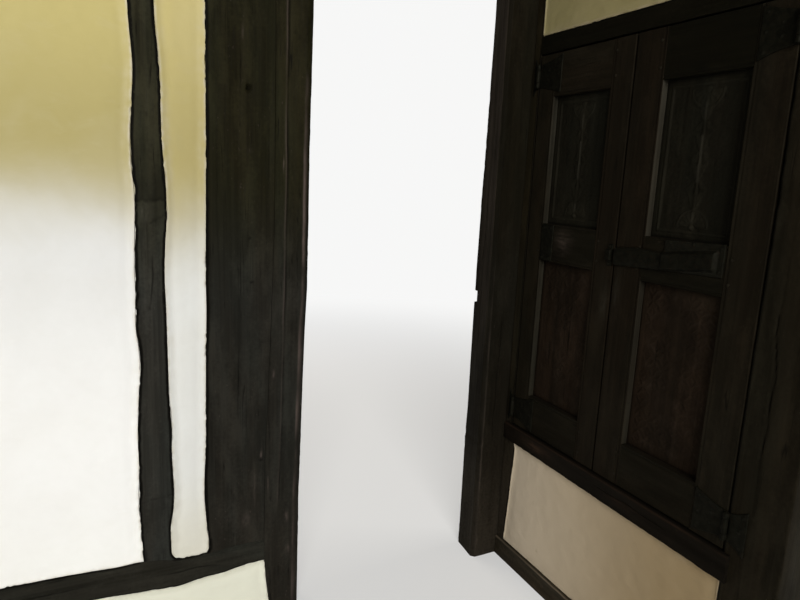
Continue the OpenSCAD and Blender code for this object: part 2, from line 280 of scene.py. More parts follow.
def finishGroup(n, colour, roughness, height):
    result = n.tree.nodes.new("NodeGroupOutput").inputs
    for label, value in (("Colour", colour), ("Roughness", roughness), ("Height", height)):
        n.put(value, result[label])
    return n.tree


def makeAgedWood():
    # colour and relief of old oak: streaks of three widths along the grain, slow patches of two hues, pores
    # and hairline checks, a darker, yellower tone higher up that is partly smoke stain and partly painted
    # shade, dust below, then the marks of the mesh
    n, given = startGroup("aged wood", {
        "Grain": None, "Place": None, "Crack": 0.0, "Rim": 0.0, "Worn": 0.0, "Dark": (0.01, 0.01, 0.01),
        "Middle": (0.02, 0.02, 0.02), "Light": (0.04, 0.04, 0.04), "Bare": (0.08, 0.06, 0.05),
        "Streak strength": 0.6, "Patch strength": 0.6, "Rim strength": 0.8, "Smoke strength": 1.0,
        "Dust strength": 0.0})

    def alongGrain(across, lengthwise, detail=3, roughness=0.55, distortion=0.0):
        place = n.stretched(given["Grain"], (across, across, lengthwise))
        return n.noise(place, 1.0, detail, roughness, distortion)

    fine, streaks = alongGrain(150, 2.6), alongGrain(52, 1.3, 4, 0.6, 0.4)
    bands, patches = alongGrain(15, 0.6, 3, 0.5, 0.3), alongGrain(6, 2.0, 4, 0.6, 0.6)
    blotches, hues = alongGrain(26, 8), alongGrain(10, 1.4)
    pores, flecks = alongGrain(520, 14, 2), alongGrain(150, 60, 2)
    speckle = n.noise(given["Grain"], 95, 3, 0.6)
    folded = n.maths("ABSOLUTE", n.minus(alongGrain(46, 0.9, 1, 0.5, 0.5), 0.5))
    hairline = n.times(n.remap(folded, 0.0, 0.010, 1.0, 0.0), n.remap(alongGrain(17, 6.5, 2), 0.52, 0.60))
    high = n.add("SeparateXYZ", {0: given["Place"]}).outputs["Z"]
    tone = n.weighted((fine, 0.30), (streaks, 0.42), (bands, 0.28))
    patchTone = n.weighted((patches, 0.45), (blotches, 0.33), (speckle, 0.22))
    dustTone = n.weighted((patches, 0.5), (speckle, 0.5))
    streaked = n.times(n.remap(tone, 0.40, 0.60), given["Streak strength"])
    patched = n.times(n.remap(patchTone, 0.45, 0.62), given["Patch strength"])
    colour = n.mix(patched, n.mix(streaked, given["Dark"], given["Middle"]), given["Light"])
    colour = n.tinted(colour, n.mix(n.remap(hues, 0.38, 0.62), (1.045, 0.995, 0.94), (0.96, 1.01, 1.0)))
    # smoke stain and painted shade: darker and yellower higher up
    smoke = n.times(n.remap(high, 1.08, 1.52), given["Smoke strength"])
    colour = n.mix(smoke, colour, n.tinted(colour, (0.75, 0.71, 0.37)))
    dusty = n.times(n.remap(high, 0.75, 0.05), n.remap(dustTone, 0.36, 0.62, 0.25, 1.0))
    raggedRim = n.times(given["Rim"], n.remap(alongGrain(120, 90, 2), 0.20, 0.42), True)
    # the worn mark lightens towards the bare colour: rubbed wear, and also painted highlights along arrises and
    # painted light on sides that face the light
    layers = [(n.times(dusty, given["Dust strength"]), (0.036, 0.029, 0.021)),
              (n.times(n.remap(pores, 0.56, 0.70), 0.35), given["Dark"]),
              (n.times(n.remap(flecks, 0.68, 0.80), 0.22), given["Bare"]),
              (n.times(hairline, 0.75), (0.0018, 0.0016, 0.0012)),
              (n.times(given["Worn"], n.remap(tone, 0.36, 0.56, 0.35, 1.0), True), given["Bare"]),
              (n.times(raggedRim, given["Rim strength"]), (0.0012, 0.0011, 0.0008)),
              (n.times(given["Crack"], 0.9), (0.0014, 0.0012, 0.0009))]
    for mask, target in layers:
        colour = n.mix(mask, colour, target)
    sheen = n.weighted((patches, 0.55), (streaks, 0.45))
    rough = n.minus(n.remap(sheen, 0.36, 0.66, 0.80, 0.60), n.times(given["Worn"], 0.12))
    proud = n.weighted((streaks, 0.5), (fine, 0.3), (flecks, 0.2))
    return finishGroup(n, colour, rough, n.minus(proud, n.weighted((pores, 0.25), (hairline, 0.8))))


def makeLimewash():
    # old limewash: darker and yellower towards the ceiling, partly smoke stain and partly painted shade;
    # painted shade towards the wall's near end and from half height up; a tint near the floor that on the
    # white panel is painted light; dusty beside the timbers, brushed and a little gritty
    n, given = startGroup("limewash", {
        "Place": None, "Rim": 0.0, "Clean": (0.84, 0.82, 0.78), "Smoky": (0.60, 0.52, 0.28),
        "Dusty": (0.55, 0.50, 0.40), "Grimy": (0.50, 0.42, 0.29), "Smoke starts": 1.25, "Smoke full": 2.05,
        "Grime strength": 0.0, "Dull from": 0.65, "Dull strength": 0.0, "Low tint": (1.0, 1.0, 1.0)})
    place = given["Place"]
    parts = n.add("SeparateXYZ", {0: place}).outputs
    patches, clouds = n.noise(place, 3.2, 4, 0.55, 0.3), n.noise(place, 1.3, 3, 0.5)
    brushed = n.noise(n.stretched(place, (14, 14, 30)), 1.0, 3, 0.6, 0.8)
    grit, lumps = n.noise(place, 260, 2, 0.6), n.noise(place, 38, 3, 0.5)
    wavering = n.plus(parts["Z"], n.times(patches, 0.20))
    # smoke stain and painted shade: darker and yellower towards the ceiling
    smoke = n.remap(wavering, n.plus(given["Smoke starts"], 0.10), n.plus(given["Smoke full"], 0.10))
    # painted shade: darker towards the wall's near end
    nearEnd = n.remap(n.plus(parts["Y"], n.times(clouds, 0.3)), 0.10, -0.75)
    colour = n.mix(n.times(nearEnd, given["Grime strength"], True), given["Clean"], given["Grimy"])
    # painted shade: darker from half height upwards
    dulled = n.times(n.remap(wavering, given["Dull from"], 1.53), given["Dull strength"])
    colour = n.mix(dulled, colour, n.tinted(colour, (0.5, 0.51, 0.52)))
    # a tint near the floor; on the white panel it is painted light, a little brighter there
    colour = n.mix(n.remap(parts["Z"], 0.62, 0.28), colour, n.tinted(colour, given["Low tint"]))
    topmost = n.tinted(given["Smoky"], (1.26, 1.26, 1.22))
    colour = n.mix(smoke, colour, n.mix(n.remap(parts["Z"], 1.55, 1.98), given["Smoky"], topmost))
    for mask in (n.times(n.remap(patches, 0.42, 0.72), 0.10), n.times(n.remap(brushed, 0.5, 0.8), 0.05),
                 n.times(given["Rim"], n.remap(lumps, 0.25, 0.75, 0.15, 0.85), True)):
        colour = n.mix(mask, colour, given["Dusty"])
    height = n.weighted((brushed, 0.5), (grit, 0.25), (lumps, 0.6))
    return finishGroup(n, colour, n.remap(patches, 0.3, 0.7, 0.95, 0.85), height)


def makeForgedIron():
    # black forged iron: mottled scale, brown rust in spots, and brighter rubbed high places
    n, given = startGroup("forged iron", {"Place": None, "Worn": 0.0, "Rust strength": 0.5})
    place = given["Place"]
    mottle, spots = n.noise(place, 55, 4, 0.6, 0.4), n.noise(place, 130, 3, 0.65)
    scale = n.noise(place, 420, 2, 0.6)
    rust = n.times(n.remap(spots, 0.54, 0.70), given["Rust strength"], True)
    rubbed = n.times(given["Worn"], n.remap(scale, 0.30, 0.60, 0.4, 1.0), True)
    colour = n.mix(n.remap(mottle, 0.38, 0.64), (0.0020, 0.0020, 0.0012), (0.0048, 0.0046, 0.0029))
    colour = n.mix(rust, colour, (0.011, 0.0066, 0.0038))
    colour = n.mix(rubbed, colour, (0.020, 0.019, 0.014))
    rough = n.plus(n.remap(mottle, 0.35, 0.65, 0.62, 0.48), n.times(rust, 0.25))
    return finishGroup(n, colour, rough, n.weighted((mottle, 0.6), (scale, 0.2)))


agedWood, limewash, forgedIron = makeAgedWood(), makeLimewash(), makeForgedIron()


def surface(name, group, marks, values, bump, gloss, sheen=(1.0, 1.0, 1.0)):
    # a plain shader fed by one group, which gets the mesh's marks and this material's values;
    # bump is the distance and the strength of the relief
    material = bpy.data.materials.new(name)
    material.use_nodes = True
    n = Nodes(material.node_tree)
    n.tree.nodes.clear()
    inputs = {"Place": n.add("TexCoord").outputs["Object"]}
    for mark in marks:
        output = "Vector" if mark == "grain" else "Fac"
        inputs[mark.capitalize()] = n.add("Attribute", attribute_name=mark).outputs[output]
    look = n.add("Group", inputs | values, node_tree=group).outputs
    relief = n.add("Bump", {"Height": look["Height"], "Distance": bump[0], "Strength": bump[1]})
    shader = n.add("BsdfPrincipled", {
        "Base Color": look["Colour"], "Roughness": look["Roughness"], "Normal": relief.outputs["Normal"],
        "Specular IOR Level": gloss, "Specular Tint": sheen})
    n.add("OutputMaterial", {"Surface": shader.outputs[0]})
    return material


def oak(name, dark, middle, light, bare, gloss=0.06, rim=0.85, smoke=0.0, dust=0.0, sheen=(1.0, 0.88, 0.66)):
    values = {"Dark": dark, "Middle": middle, "Light": light, "Bare": bare, "Rim strength": rim,
              "Smoke strength": smoke, "Dust strength": dust}
    return surface(name, agedWood, ("grain", "crack", "rim", "worn"), values, (0.0008, 0.8), gloss, sheen)


def plaster(name, values):
    return surface(name, limewash, ("rim",), values, (0.0012, 0.6), 0.2)


def iron(name, rust):
    return surface(name, forgedIron, ("worn",), {"Rust strength": rust}, (0.0008, 0.7), 0.055,
                   (0.95, 0.92, 0.72))


greySheen = (1.0, 0.94, 0.80)
timberOak = oak("timberOak", (0.0090, 0.0086, 0.0070), (0.0185, 0.0178, 0.0148), (0.0270, 0.0260, 0.0215),
                (0.128, 0.096, 0.084), smoke=1.0, dust=0.34, sheen=greySheen, rim=0.97)
beamOak = oak("beamOak", (0.0100, 0.0098, 0.0076), (0.0205, 0.0200, 0.0160), (0.0290, 0.0285, 0.0230),
              (0.070, 0.062, 0.048), sheen=greySheen)
studOak = oak("studOak", (0.0165, 0.0164, 0.0142), (0.0320, 0.0318, 0.0276), (0.0430, 0.0426, 0.0372),
              (0.070, 0.066, 0.052), smoke=0.8, sheen=greySheen, rim=0.97)
# the right post's oak is darker than the other posts': painted shade
rightPostOak = oak("rightPostOak", (0.0042, 0.0036, 0.0024), (0.0088, 0.0074, 0.0050),
                   (0.0135, 0.0114, 0.0080), (0.055, 0.043, 0.034), smoke=0.4, dust=0.55)
returnOak = oak("returnOak", (0.0058, 0.0047, 0.0028), (0.0115, 0.0093, 0.0056), (0.0170, 0.0140, 0.0086),
                (0.055, 0.042, 0.028))
# the corner post's oak is a lighter copy of the return wall's, with strong dust low down: partly dust, partly
# painted light in the shaded corner
cornerOak = oak("cornerOak", (0.0099, 0.0080, 0.0048), (0.0196, 0.0158, 0.0095), (0.0289, 0.0238, 0.0146),
                (0.055, 0.042, 0.028), smoke=0.3, dust=1.0)
headerOak = oak("headerOak", (0.0024, 0.0022, 0.0012), (0.0049, 0.0044, 0.0025), (0.0076, 0.0068, 0.0040),
                (0.030, 0.024, 0.015))
leafOak = oak("leafOak", (0.0057, 0.0045, 0.0028), (0.0114, 0.0088, 0.0054), (0.0170, 0.0132, 0.0080),
              (0.052, 0.050, 0.038))
meetingOak = oak("meetingOak", (0.0054, 0.0040, 0.0025), (0.0108, 0.0078, 0.0047), (0.0162, 0.0118, 0.0070),
                 (0.052, 0.048, 0.036))
# the rails' oak; its pinkish bare colour also paints the sheen on the near middle rail
railOak = oak("railOak", (0.0038, 0.0032, 0.0019), (0.0076, 0.0063, 0.0038), (0.0118, 0.0096, 0.0058),
              (0.060, 0.044, 0.035))
panelOak = oak("panelOak", (0.0055, 0.0052, 0.0036), (0.0105, 0.0098, 0.0066), (0.0150, 0.0140, 0.0096),
               (0.048, 0.044, 0.033))
redOak = oak("redOak", (0.0080, 0.0052, 0.0034), (0.0158, 0.0102, 0.0065), (0.0230, 0.0148, 0.0094),
             (0.055, 0.039, 0.028))
sillOak = oak("sillOak", (0.0032, 0.0025, 0.0018), (0.0066, 0.0050, 0.0036), (0.0105, 0.0074, 0.0050),
              (0.055, 0.030, 0.018))
skirtingOak = oak("skirtingOak", (0.014, 0.011, 0.007), (0.032, 0.025, 0.016), (0.055, 0.042, 0.027),
                  (0.160, 0.125, 0.088), gloss=0.10)
boardOak = oak("boardOak", (0.050, 0.034, 0.020), (0.110, 0.075, 0.045), (0.160, 0.110, 0.068),
               (0.200, 0.150, 0.100), gloss=0.2)
# the white panel: darker from half height up, painted shade; darker and yellower at the top, smoke stain and
# painted shade; a little brighter near the floor, painted light
whitePlaster = plaster("whitePlaster", {
    "Clean": (0.925, 0.920, 0.897), "Smoky": (0.418, 0.356, 0.150), "Dusty": (0.68, 0.64, 0.54),
    "Smoke starts": 1.24, "Smoke full": 1.58, "Dull from": 0.73, "Dull strength": 0.42,
    "Low tint": (1.03, 1.03, 1.015)})
# the narrow panel is a darker copy of the white: partly a greyer wash, partly painted shade
narrowPlaster = plaster("narrowPlaster", {
    "Clean": (0.740, 0.744, 0.716), "Smoky": (0.415, 0.350, 0.150), "Dusty": (0.54, 0.50, 0.40),
    "Smoke starts": 1.10, "Smoke full": 1.52, "Dull from": 1.10, "Dull strength": 0.22,
    "Low tint": (0.95, 0.92, 0.83)})
# the return wall's plaster is a darker, yellower copy: partly old dirt, partly painted shade; darker still towards
# the wall's near end, painted shade
dimPlaster = plaster("dimPlaster", {
    "Clean": (0.560, 0.470, 0.350), "Smoky": (0.204, 0.174, 0.080), "Dusty": (0.38, 0.31, 0.21),
    "Grimy": (0.305, 0.224, 0.120), "Grime strength": 1.0, "Smoke starts": 1.4, "Smoke full": 2.0})
plinthPlaster = plaster("plinthPlaster", {
    "Clean": (0.785, 0.782, 0.655), "Smoky": (0.62, 0.53, 0.27), "Dusty": (0.51, 0.48, 0.39)})
blackIron, rustyIron = iron("blackIron", 0.42), iron("rustyIron", 0.85)
print("materials made")


# Timbers and boards

outwards = ((0, -1), (1, 0), (0, 1), (-1, 0))     # across, depth: front, high side, back, low side
timberDefaults = {
    "axes": wallAxes, "body": "wall", "slot": "timber", "material": timberOak,
    "front": frontPlane, "back": backPlane, "corner": [(0.004, 0.004)] * 4, "roundness": (2, 2, 2, 2),
    "nCorner": 5, "step": 0.007, "extraStations": [],
    "spacing": 0.0028, "sideSpacing": 0.02, "backSpacing": 0.016,
    "wobble": (0.0007, 0.0009), "raggedSides": (1, 1, 1, 1),     # fine and slow, and its share at each edge
    "relief": (0.0016, 0.0008, 0.0004), "calmSides": 0.7,     # hewing, tool marks and grain, calmer at sides
    "cracks": [],     # place across, two heights, lean, width, depth and face
    "dents": [],     # place across, height, radius, depth and stretch
    "knots": [],     # place across, height and radius
    # pale patches of rubbed wear and of painted sheen
    "scuffs": [],     # place across, height, half width, half length and strength
    "carve": None, "reshape": None, "footLine": None,
    "rimSides": (1, 1), "rimReach": 0.0035, "darkCorners": {},
    # wear on a corner also carries a painted highlight along it, and the paleness of the sides that face the light
    # is painted light
    "wornCorners": [],     # which corner, strength, spread and place in it
    "wornAlong": np.ones_like, "wornSides": (0, 0), "wornDepth": 0.03}


def atPlaces(values, t):
    # each value as it is, or worked out from the place along the timber
    return [v(t) if callable(v) else v for v in values]


def waveringEdges(spec, t):
    # the places across of the four long edges (low and high at the front, high and low at the back), each
    # with a fine ragged line and a slow wander
    seed = spec["seed"]
    fine, slow = spec["wobble"]
    edges = []
    for edge, share, side in zip(spec["edges"], spec["raggedSides"], (-1, 1, 1, -1)):
        restless = 0.35 + 1.5 * ease(smoothNoise(t / 0.16, seed * 5.3 + side, seed=seed + 2) + 0.35)
        ragged = fine * restless * layeredNoise(t / 0.019, seed * 3.1 + side, seed=seed + 5) \
            + slow * smoothNoise(t / 0.12, seed * 1.7 + side, seed=seed + 9)
        edges.append(edgeAt(edge, t) + ragged * share)
    return edges


def ringOfSection(edges, front, back, cornerSizes, roundness, counts):
    # a rectangle's outline with eased corners, for every station along a timber, from the places of its
    # four edges; an eased corner is centre + size * (sin a, cos a) ** (2 / roundness): 2 is a quarter
    # ellipse, 1 a flat chamfer; gives across, depth, both parts of the outward direction, and each point's
    # corner, or -1 between corners
    n = len(front)
    *straightCounts, cornerCount = counts
    places = [(w[:, None], d[:, None]) for w, d in zip(edges, (front, front, back, back))]
    sizes = [[np.broadcast_to(size, n)[:, None] for size in pair] for pair in cornerSizes]
    a = np.linspace(0, 1, cornerCount, endpoint=False)[None, :] * math.pi / 2
    found, facing, corner = ([], []), ([], []), []
    for k, count in enumerate(straightCounts):
        ahead = (k + 1) % 4
        s = np.linspace(0, 1, count, endpoint=False)[None, :]
        power = 2 / roundness[ahead]
        for axis in (0, 1):
            before, here, after = outwards[k - 1][axis], outwards[k][axis], outwards[ahead][axis]
            start = places[k][axis] - before * sizes[k][axis]
            end = places[ahead][axis] - after * sizes[ahead][axis]
            centre = places[ahead][axis] - (here + after) * sizes[ahead][axis]
            eased = here * np.cos(a) ** power + after * np.sin(a) ** power
            turned = here * np.cos(a) + after * np.sin(a)
            found[axis].extend([start + (end - start) * s, centre + eased * sizes[ahead][axis]])
            facing[axis].extend([np.full((n, count), here), np.repeat(turned, n, 0)])
        corner += [np.full(count, -1), np.full(cornerCount, ahead)]
    return [np.concatenate(v, 1) for v in found + facing] + [np.concatenate(corner)]


def hewnAway(spec, w, d, t, nw, nd, toSide):
    # how far each point is moved inwards, and its dark and pale marks: hewing is slow noise, tool marks
    # are folded noise and grain is noise drawn out along the length; these three die down towards the
    # sides, so that the outline holds, and cracks, dents, knots, and scuffs and painted sheen lie where the
    # piece's values place them
    seed = spec["seed"]
    hew, tool, grain = spec["relief"]
    inward = hew * (0.5 + 0.5 * layeredNoise(w / 0.075, d / 0.075, t / 0.33, seed, 2)) \
        + tool * np.abs(smoothNoise(w / 0.045, d / 0.045, t / 0.11, seed + 3)) \
        + grain * (0.5 + 0.5 * smoothNoise(w / 0.0075, d / 0.0075, t / 0.16, seed + 6))
    inward = inward * (1 - spec["calmSides"] * np.exp(-toSide / 0.012))
    dark, worn = np.zeros(w.shape), np.zeros(w.shape)
    facings = {"front": nd < -0.7, "high": nw > 0.7, "low": nw < -0.7}
    for k, (w0, t0, t1, lean, width, deep, face) in enumerate(spec["cracks"]):
        course = w if face == "front" else d
        middle = w0 + lean * (t - t0) + 0.006 * layeredNoise(t / 0.12, k * 2.3, seed=seed + 40 + k, layers=2)
        taper = np.sqrt(np.clip((t - t0) * (t1 - t), 0, None)) / (abs(t1 - t0) / 2)
        opened = np.exp(-((course - middle) / width) ** 2) * taper * facings[face]
        inward = inward + deep * opened
        dark = np.maximum(dark, 0.8 * opened)
    for w0, t0, radius, deep, stretch in spec["dents"]:
        distance = np.hypot((w - w0) / radius, (t - t0) / (radius * stretch))
        hollow = np.exp(-distance ** 4) * (nd < -0.5)
        inward = inward + deep * hollow
        dark = np.maximum(dark, 0.8 * hollow)
    for w0, t0, radius in spec["knots"]:
        distance = np.hypot((w - w0) / radius, (t - t0) / (radius * 1.4))
        inward = inward - 0.0011 * np.cos(distance * 9) * np.exp(-distance * 1.3) * (nd < -0.5)
        dark = np.maximum(dark, 0.5 * np.exp(-(distance / 0.45) ** 2) * (nd < -0.5))
    # pale patches on the front: rubbed wear, and painted sheen
    for w0, t0, halfWidth, halfLength, strength in spec["scuffs"]:
        rough = 0.6 + 0.5 * layeredNoise(w / 0.006, t / 0.02, seed=seed + 55)
        shine = np.exp(-((w - w0) / halfWidth) ** 2 - ((t - t0) / halfLength) ** 2)
        worn = np.maximum(worn, strength * shine * rough * facings["front"])
    if spec["carve"]:
        cut, cutMark, ridgeMark = spec["carve"](w, d, t, nw, nd)
        inward, dark, worn = inward + cut, np.maximum(dark, cutMark), np.maximum(worn, ridgeMark)
    return inward, dark, worn


def timberPiece(spec):
    # rings of eased rectangles along the timber's length, each point moved inwards against its outward
    # direction; its marks are cracks, a dark rim where it meets plaster, wear with painted highlights on its
    # corners, and painted light on its sides
    along, across, depth = spec["axes"]
    seed, (start, end) = spec["seed"], spec["span"]
    t = np.linspace(start, end, max(2, int(round((end - start) / spec["step"])) + 1))
    t = np.union1d(t, spec["extraStations"])
    edges = waveringEdges(spec, t)
    front, back = edgeAt(spec["front"], t), edgeAt(spec["back"], t)
    width = np.abs(edges[1] - edges[0]).max()
    nFront, nBack = max(3, int(width / spec["spacing"])), max(2, int(width / spec["backSpacing"]))
    nSide = max(2, int((back.max() - front.min()) / spec["sideSpacing"]))
    sizes = [atPlaces(size, t) for size in spec["corner"]]
    counts = (nFront, nSide, nBack, nSide, spec["nCorner"])
    w, d, nw, nd, corner = ringOfSection(edges, front, back, sizes, spec["roundness"], counts)
    rows, columns = w.shape
    t = np.repeat(t[:, None], columns, 1)
    fromLow, fromHigh = w - edges[0][:, None], edges[1][:, None] - w
    toSide = np.clip(np.minimum(fromLow, fromHigh), 0, None)
    inward, dark, worn = hewnAway(spec, w, d, t, nw, nd, toSide)
    w, d = w - nw * inward, d - nd * inward
    if spec["reshape"]:
        w, d = spec["reshape"](w, d, t)
    if spec["footLine"]:
        # the lowest stretch leans so that the end follows the top of the beam that it stands on
        standsOn = edgeAt(spec["footLine"], w.reshape(-1)).reshape(w.shape) - 0.003
        t = t + (standsOn - start) * (1 - ease((t - start) / 0.07))
    points = np.zeros(w.shape + (3,))
    points[..., across], points[..., depth], points[..., along] = w, d, t
    mesh = buildMesh(spec["name"], points.reshape(-1, 3), ringQuads(rows, columns), ringCaps(rows, columns),
                     turnsInward(spec["axes"]))
    lowRim, highRim = atPlaces(spec["rimSides"], t)
    reach = spec["rimReach"] * (1 + 0.3 * smoothNoise(t / 0.045, w / 0.3, seed=seed + 80))
    rim = (1 - ease((toSide - reach) / 0.0045)) * (nd < -0.2) * np.where(fromLow < fromHigh, lowRim, highRim)
    shallow = d < front[:, None] + 0.03
    rim = np.maximum(rim, 0.9 * shallow * ((nw < -0.55) * lowRim + (nw > 0.55) * highRim))
    for which, strength in spec["darkCorners"].items():
        rim = np.maximum(rim, strength * (corner == which)[None, :])
    patchy = 0.55 + 0.45 * layeredNoise(t / 0.09, w / 0.03, d / 0.03, seed + 70)
    ring = np.arange(columns)
    for which, strength, spread, wearAt in spec["wornCorners"]:
        # wear with a painted highlight is a bell round one place of an eased corner, measured in points of the ring
        inCorner = ring[corner == which]
        centre = inCorner.min() + wearAt * (inCorner.max() - inCorner.min())
        gap = np.minimum(np.abs(ring - centre), columns - np.abs(ring - centre))
        bell = np.exp(-(gap[None, :] / spread) ** 2)
        worn = np.maximum(worn, strength * bell * patchy * spec["wornAlong"](t))
    # painted light: the low and high sides are paler near the front, as much as the piece's side values say
    lowWear, highWear = atPlaces(spec["wornSides"], t)
    wornPart = (0.5 + 0.5 * patchy) * (d < front[:, None] + spec["wornDepth"])
    worn = np.maximum(worn, wornPart * ((nw < -0.93) * lowWear + (nw > 0.93) * highWear))
    storeNumbers(mesh, "grain", np.stack([w, d, t + seed * 3.7], -1).reshape(-1, 3))
    for label, values in (("crack", dark), ("rim", rim), ("worn", worn)):
        storeNumbers(mesh, label, np.clip(values, 0, 1).reshape(-1))
    addPiece(spec["name"], mesh, spec["body"], [spec["node"]], spec["material"])


def upright(name, node, low, high, span, **more):
    # node is the CAD node that the piece takes the place of; low and high are its edges, at the front and
    # the back
    own = {"name": name, "node": node, "edges": (low, high, high, low), "span": span}
    timberPiece(timberDefaults | own | more)


def beam(name, node, low, high, span, **more):
    upright(name, node, low, high, span, **({"axes": beamAxes} | more))


# The door wall

leftEnd, leftPanel = -2.030, -1.860     # where the wall ends, and where its first panel begins


def frontEdges(node, axes=wallAxes, plane=frontPlane):
    return {"low": nodeEdge(node, axes, plane, -1), "high": nodeEdge(node, axes, plane, 1)}


wavyStud, wideStud = frontEdges("wavy_stud"), frontEdges("wide_stud")
leftPost = frontEdges("door_post_left", plane=backPlane)
sillBeam = frontEdges("sill_beam", beamAxes)
wavyFoot, wideFoot = float(wavyStud["high"][0][0]), float(wideStud["low"][0][0])
panelFeet = {"left": {"height": wavyFoot, "wide": 0.024, "tall": 0.030},
             "right": {"height": wideFoot, "wide": 0.013, "tall": 0.034}}


def withFoot(edge, side, foot):
    # an upright edge that runs out into the beam by a hollow quarter ellipse
    def footed(t):
        v = np.clip((t - foot["height"]) / foot["tall"], 0, 1)
        return edgeAt(edge, t) + side * foot["wide"] * (1 - np.sqrt(1 - (1 - v) ** 2))
    return footed


wavyRight = withFoot(wavyStud["high"], 1, panelFeet["left"])
wideLeft = withFoot(wideStud["low"], -1, panelFeet["right"])


def footStations(foot):
    # stations along a stud, closer together where its foot widens
    return foot["height"] + foot["tall"] * np.array([0.01, 0.04, 0.1, 0.2, 0.35, 0.5, 0.7, 0.85, 1.0])


arris = {"foot": 0.026, "top": 0.020, "depth": 0.7, "lightUpTo": 1.79}
scratchedLine = {"path": ([0.387, 0.635, 1.107, 1.400, headHeight], [-0.923, -0.913, -0.903, -0.899, -0.898]),
                 "width": 0.0030, "depth": 0.0042, "ridge": 0.0062, "ridgeWidth": 0.0030,
                 "ridgeHeight": 0.0013}


def arrisWidth(t):
    # goes evenly from the width at the foot to the width at the top
    return arris["foot"] + (arris["top"] - arris["foot"]) * t / headHeight


def arrisLight(t):
    # wear and a painted highlight along the arris: brightest at half height and gone above the hand's reach
    reach = 1 - ease((t - arris["lightUpTo"] + 0.06) / 0.10)
    return reach * (0.38 + 0.62 * np.exp(-((t - 1.18) / 0.42) ** 2))


def rightArrisLight(t):
    # wear and a painted highlight show below half height, with a brighter stretch near the foot, and fade out
    # upwards
    return (1 - ease((t - 0.95) / 0.40)) * (0.62 + 0.38 * np.exp(-((t - 0.38) / 0.22) ** 2))


def revealLight(t):
    # painted light: the side of the right post is paler above half height
    return 0.28 * ease((t - 0.78) / 0.30) + 0.15 * ease((t - 1.15) / 0.40)


def scratchedGroove(w, d, t, nw, nd):
    # a narrow groove with a low ridge on its left, both bell-shaped across
    c = scratchedLine
    middle = np.interp(t, *c["path"]) + 0.0012 * smoothNoise(t / 0.07, seed=3)
    fading = (0.60 + 0.40 * smoothNoise(t / 0.16, seed=8)) * ease((t - c["path"][0][0]) / 0.06) * (nd < -0.7)
    groove = np.exp(-((w - middle) / c["width"]) ** 2) * fading
    ridge = np.exp(-((w - middle + c["ridge"]) / c["ridgeWidth"]) ** 2) * fading
    return c["depth"] * groove - c["ridgeHeight"] * ridge, 0.75 * groove, 0.34 * ridge


def oldJoint(w, d, t, nw, nd):
    # a shallow ledge across the stud with a dark line at its foot, where a strip was once let in, a
    # slanting chip below it and a fainter level line lower down
    line = 1.413 + 0.06 * (w + 1.300) + 0.003 * smoothNoise(w / 0.012, seed=21)
    inside = nd < -0.5
    lower = 0.498 + 0.10 * (w + 1.300) + 0.002 * smoothNoise(w / 0.010, seed=23)
    gap = np.exp(-((t - line) / 0.0032) ** 2) * inside * (0.65 + 0.35 * smoothNoise(w / 0.010, seed=22))
    gap = gap + 0.6 * np.exp(-((t - lower) / 0.0028) ** 2) * inside
    chip = 1.347 + 0.65 * (w + 1.301) + 0.002 * smoothNoise(w / 0.006, seed=24)
    gap = gap + 0.55 * np.exp(-((t - chip) / 0.0042) ** 2) * ease((w + 1.306) / 0.006) * inside
    above = ease((t - line) / 0.004) * (1 - ease((t - line) / 0.22)) * inside
    shaded = 0.26 * ease((lower + 0.05 - t) / 0.09) * inside
    return 0.0022 * gap - 0.0010 * above, np.maximum(0.85 * gap + 0.42 * above, shaded), 0 * gap


def mortisedArris(w, d, t):
    # the far arris is cut back where an old door catch sat
    inside = (t > 1.040) & (t < 1.086) & (d > backPlane - 0.024) & (w < -0.096)
    return np.where(inside, np.maximum(w, -0.096), w), d


def clearOfStuds(x):
    # 1 where plaster meets the top of the beam, 0 where a stud stands on it
    onWavy = ease((x + 1.365) / 0.006) * ease((-1.262 - x) / 0.006)
    return 1 - np.maximum(onWavy, ease((x - wideStud["low"][1].min() + 0.012) / 0.006))


upright("endPostLeft", "end_post_left", leftEnd, leftPanel, (0, headHeight), seed=11, spacing=0.006,
        step=0.014, raggedSides=(0, 1, 1, 0), rimSides=(0, 1),
        cracks=[(-1.95, 0.3, 1.5, 0.012, 0.003, 0.006, "front"),
                (-1.99, 1.2, 2.1, -0.01, 0.0025, 0.005, "front")])
beam("sillBeam", "sill_beam", sillBeam["low"], sillBeam["high"], (leftPanel, -0.973), seed=12, step=0.0055,
     material=beamOak, wobble=(0.0010, 0.0010), rimSides=(1, clearOfStuds),
     cracks=[(0.247, -1.72, -1.50, 0.02, 0.0022, 0.004, "front"),
             (0.230, -1.30, -1.12, -0.03, 0.0020, 0.003, "front")])
upright("wavyStud", "wavy_stud", wavyStud["low"], wavyRight, (wavyFoot, headHeight), seed=13, step=0.0055,
        material=studOak, footLine=sillBeam["high"], extraStations=footStations(panelFeet["left"]),
        corner=[(0.0045, 0.0045), (0.0045, 0.0045), (0.004, 0.004), (0.004, 0.004)], wobble=(0.0010, 0.0012),
        relief=(0.0026, 0.0014, 0.0005), carve=oldJoint, rimReach=0.0062, raggedSides=(1.6, 1, 1, 1.6),
        cracks=[(-1.312, 1.10, 1.26, 0.110, 0.0024, 0.0012, "front")],
        scuffs=[(-1.316, 1.375, 0.020, 0.034, 0.40), (-1.316, 1.30, 0.006, 0.075, 0.24),
                (-1.318, 1.25, 0.004, 0.03, 0.2)],
        knots=[(-1.301, 1.648, 0.012), (-1.310, 1.100, 0.014)])
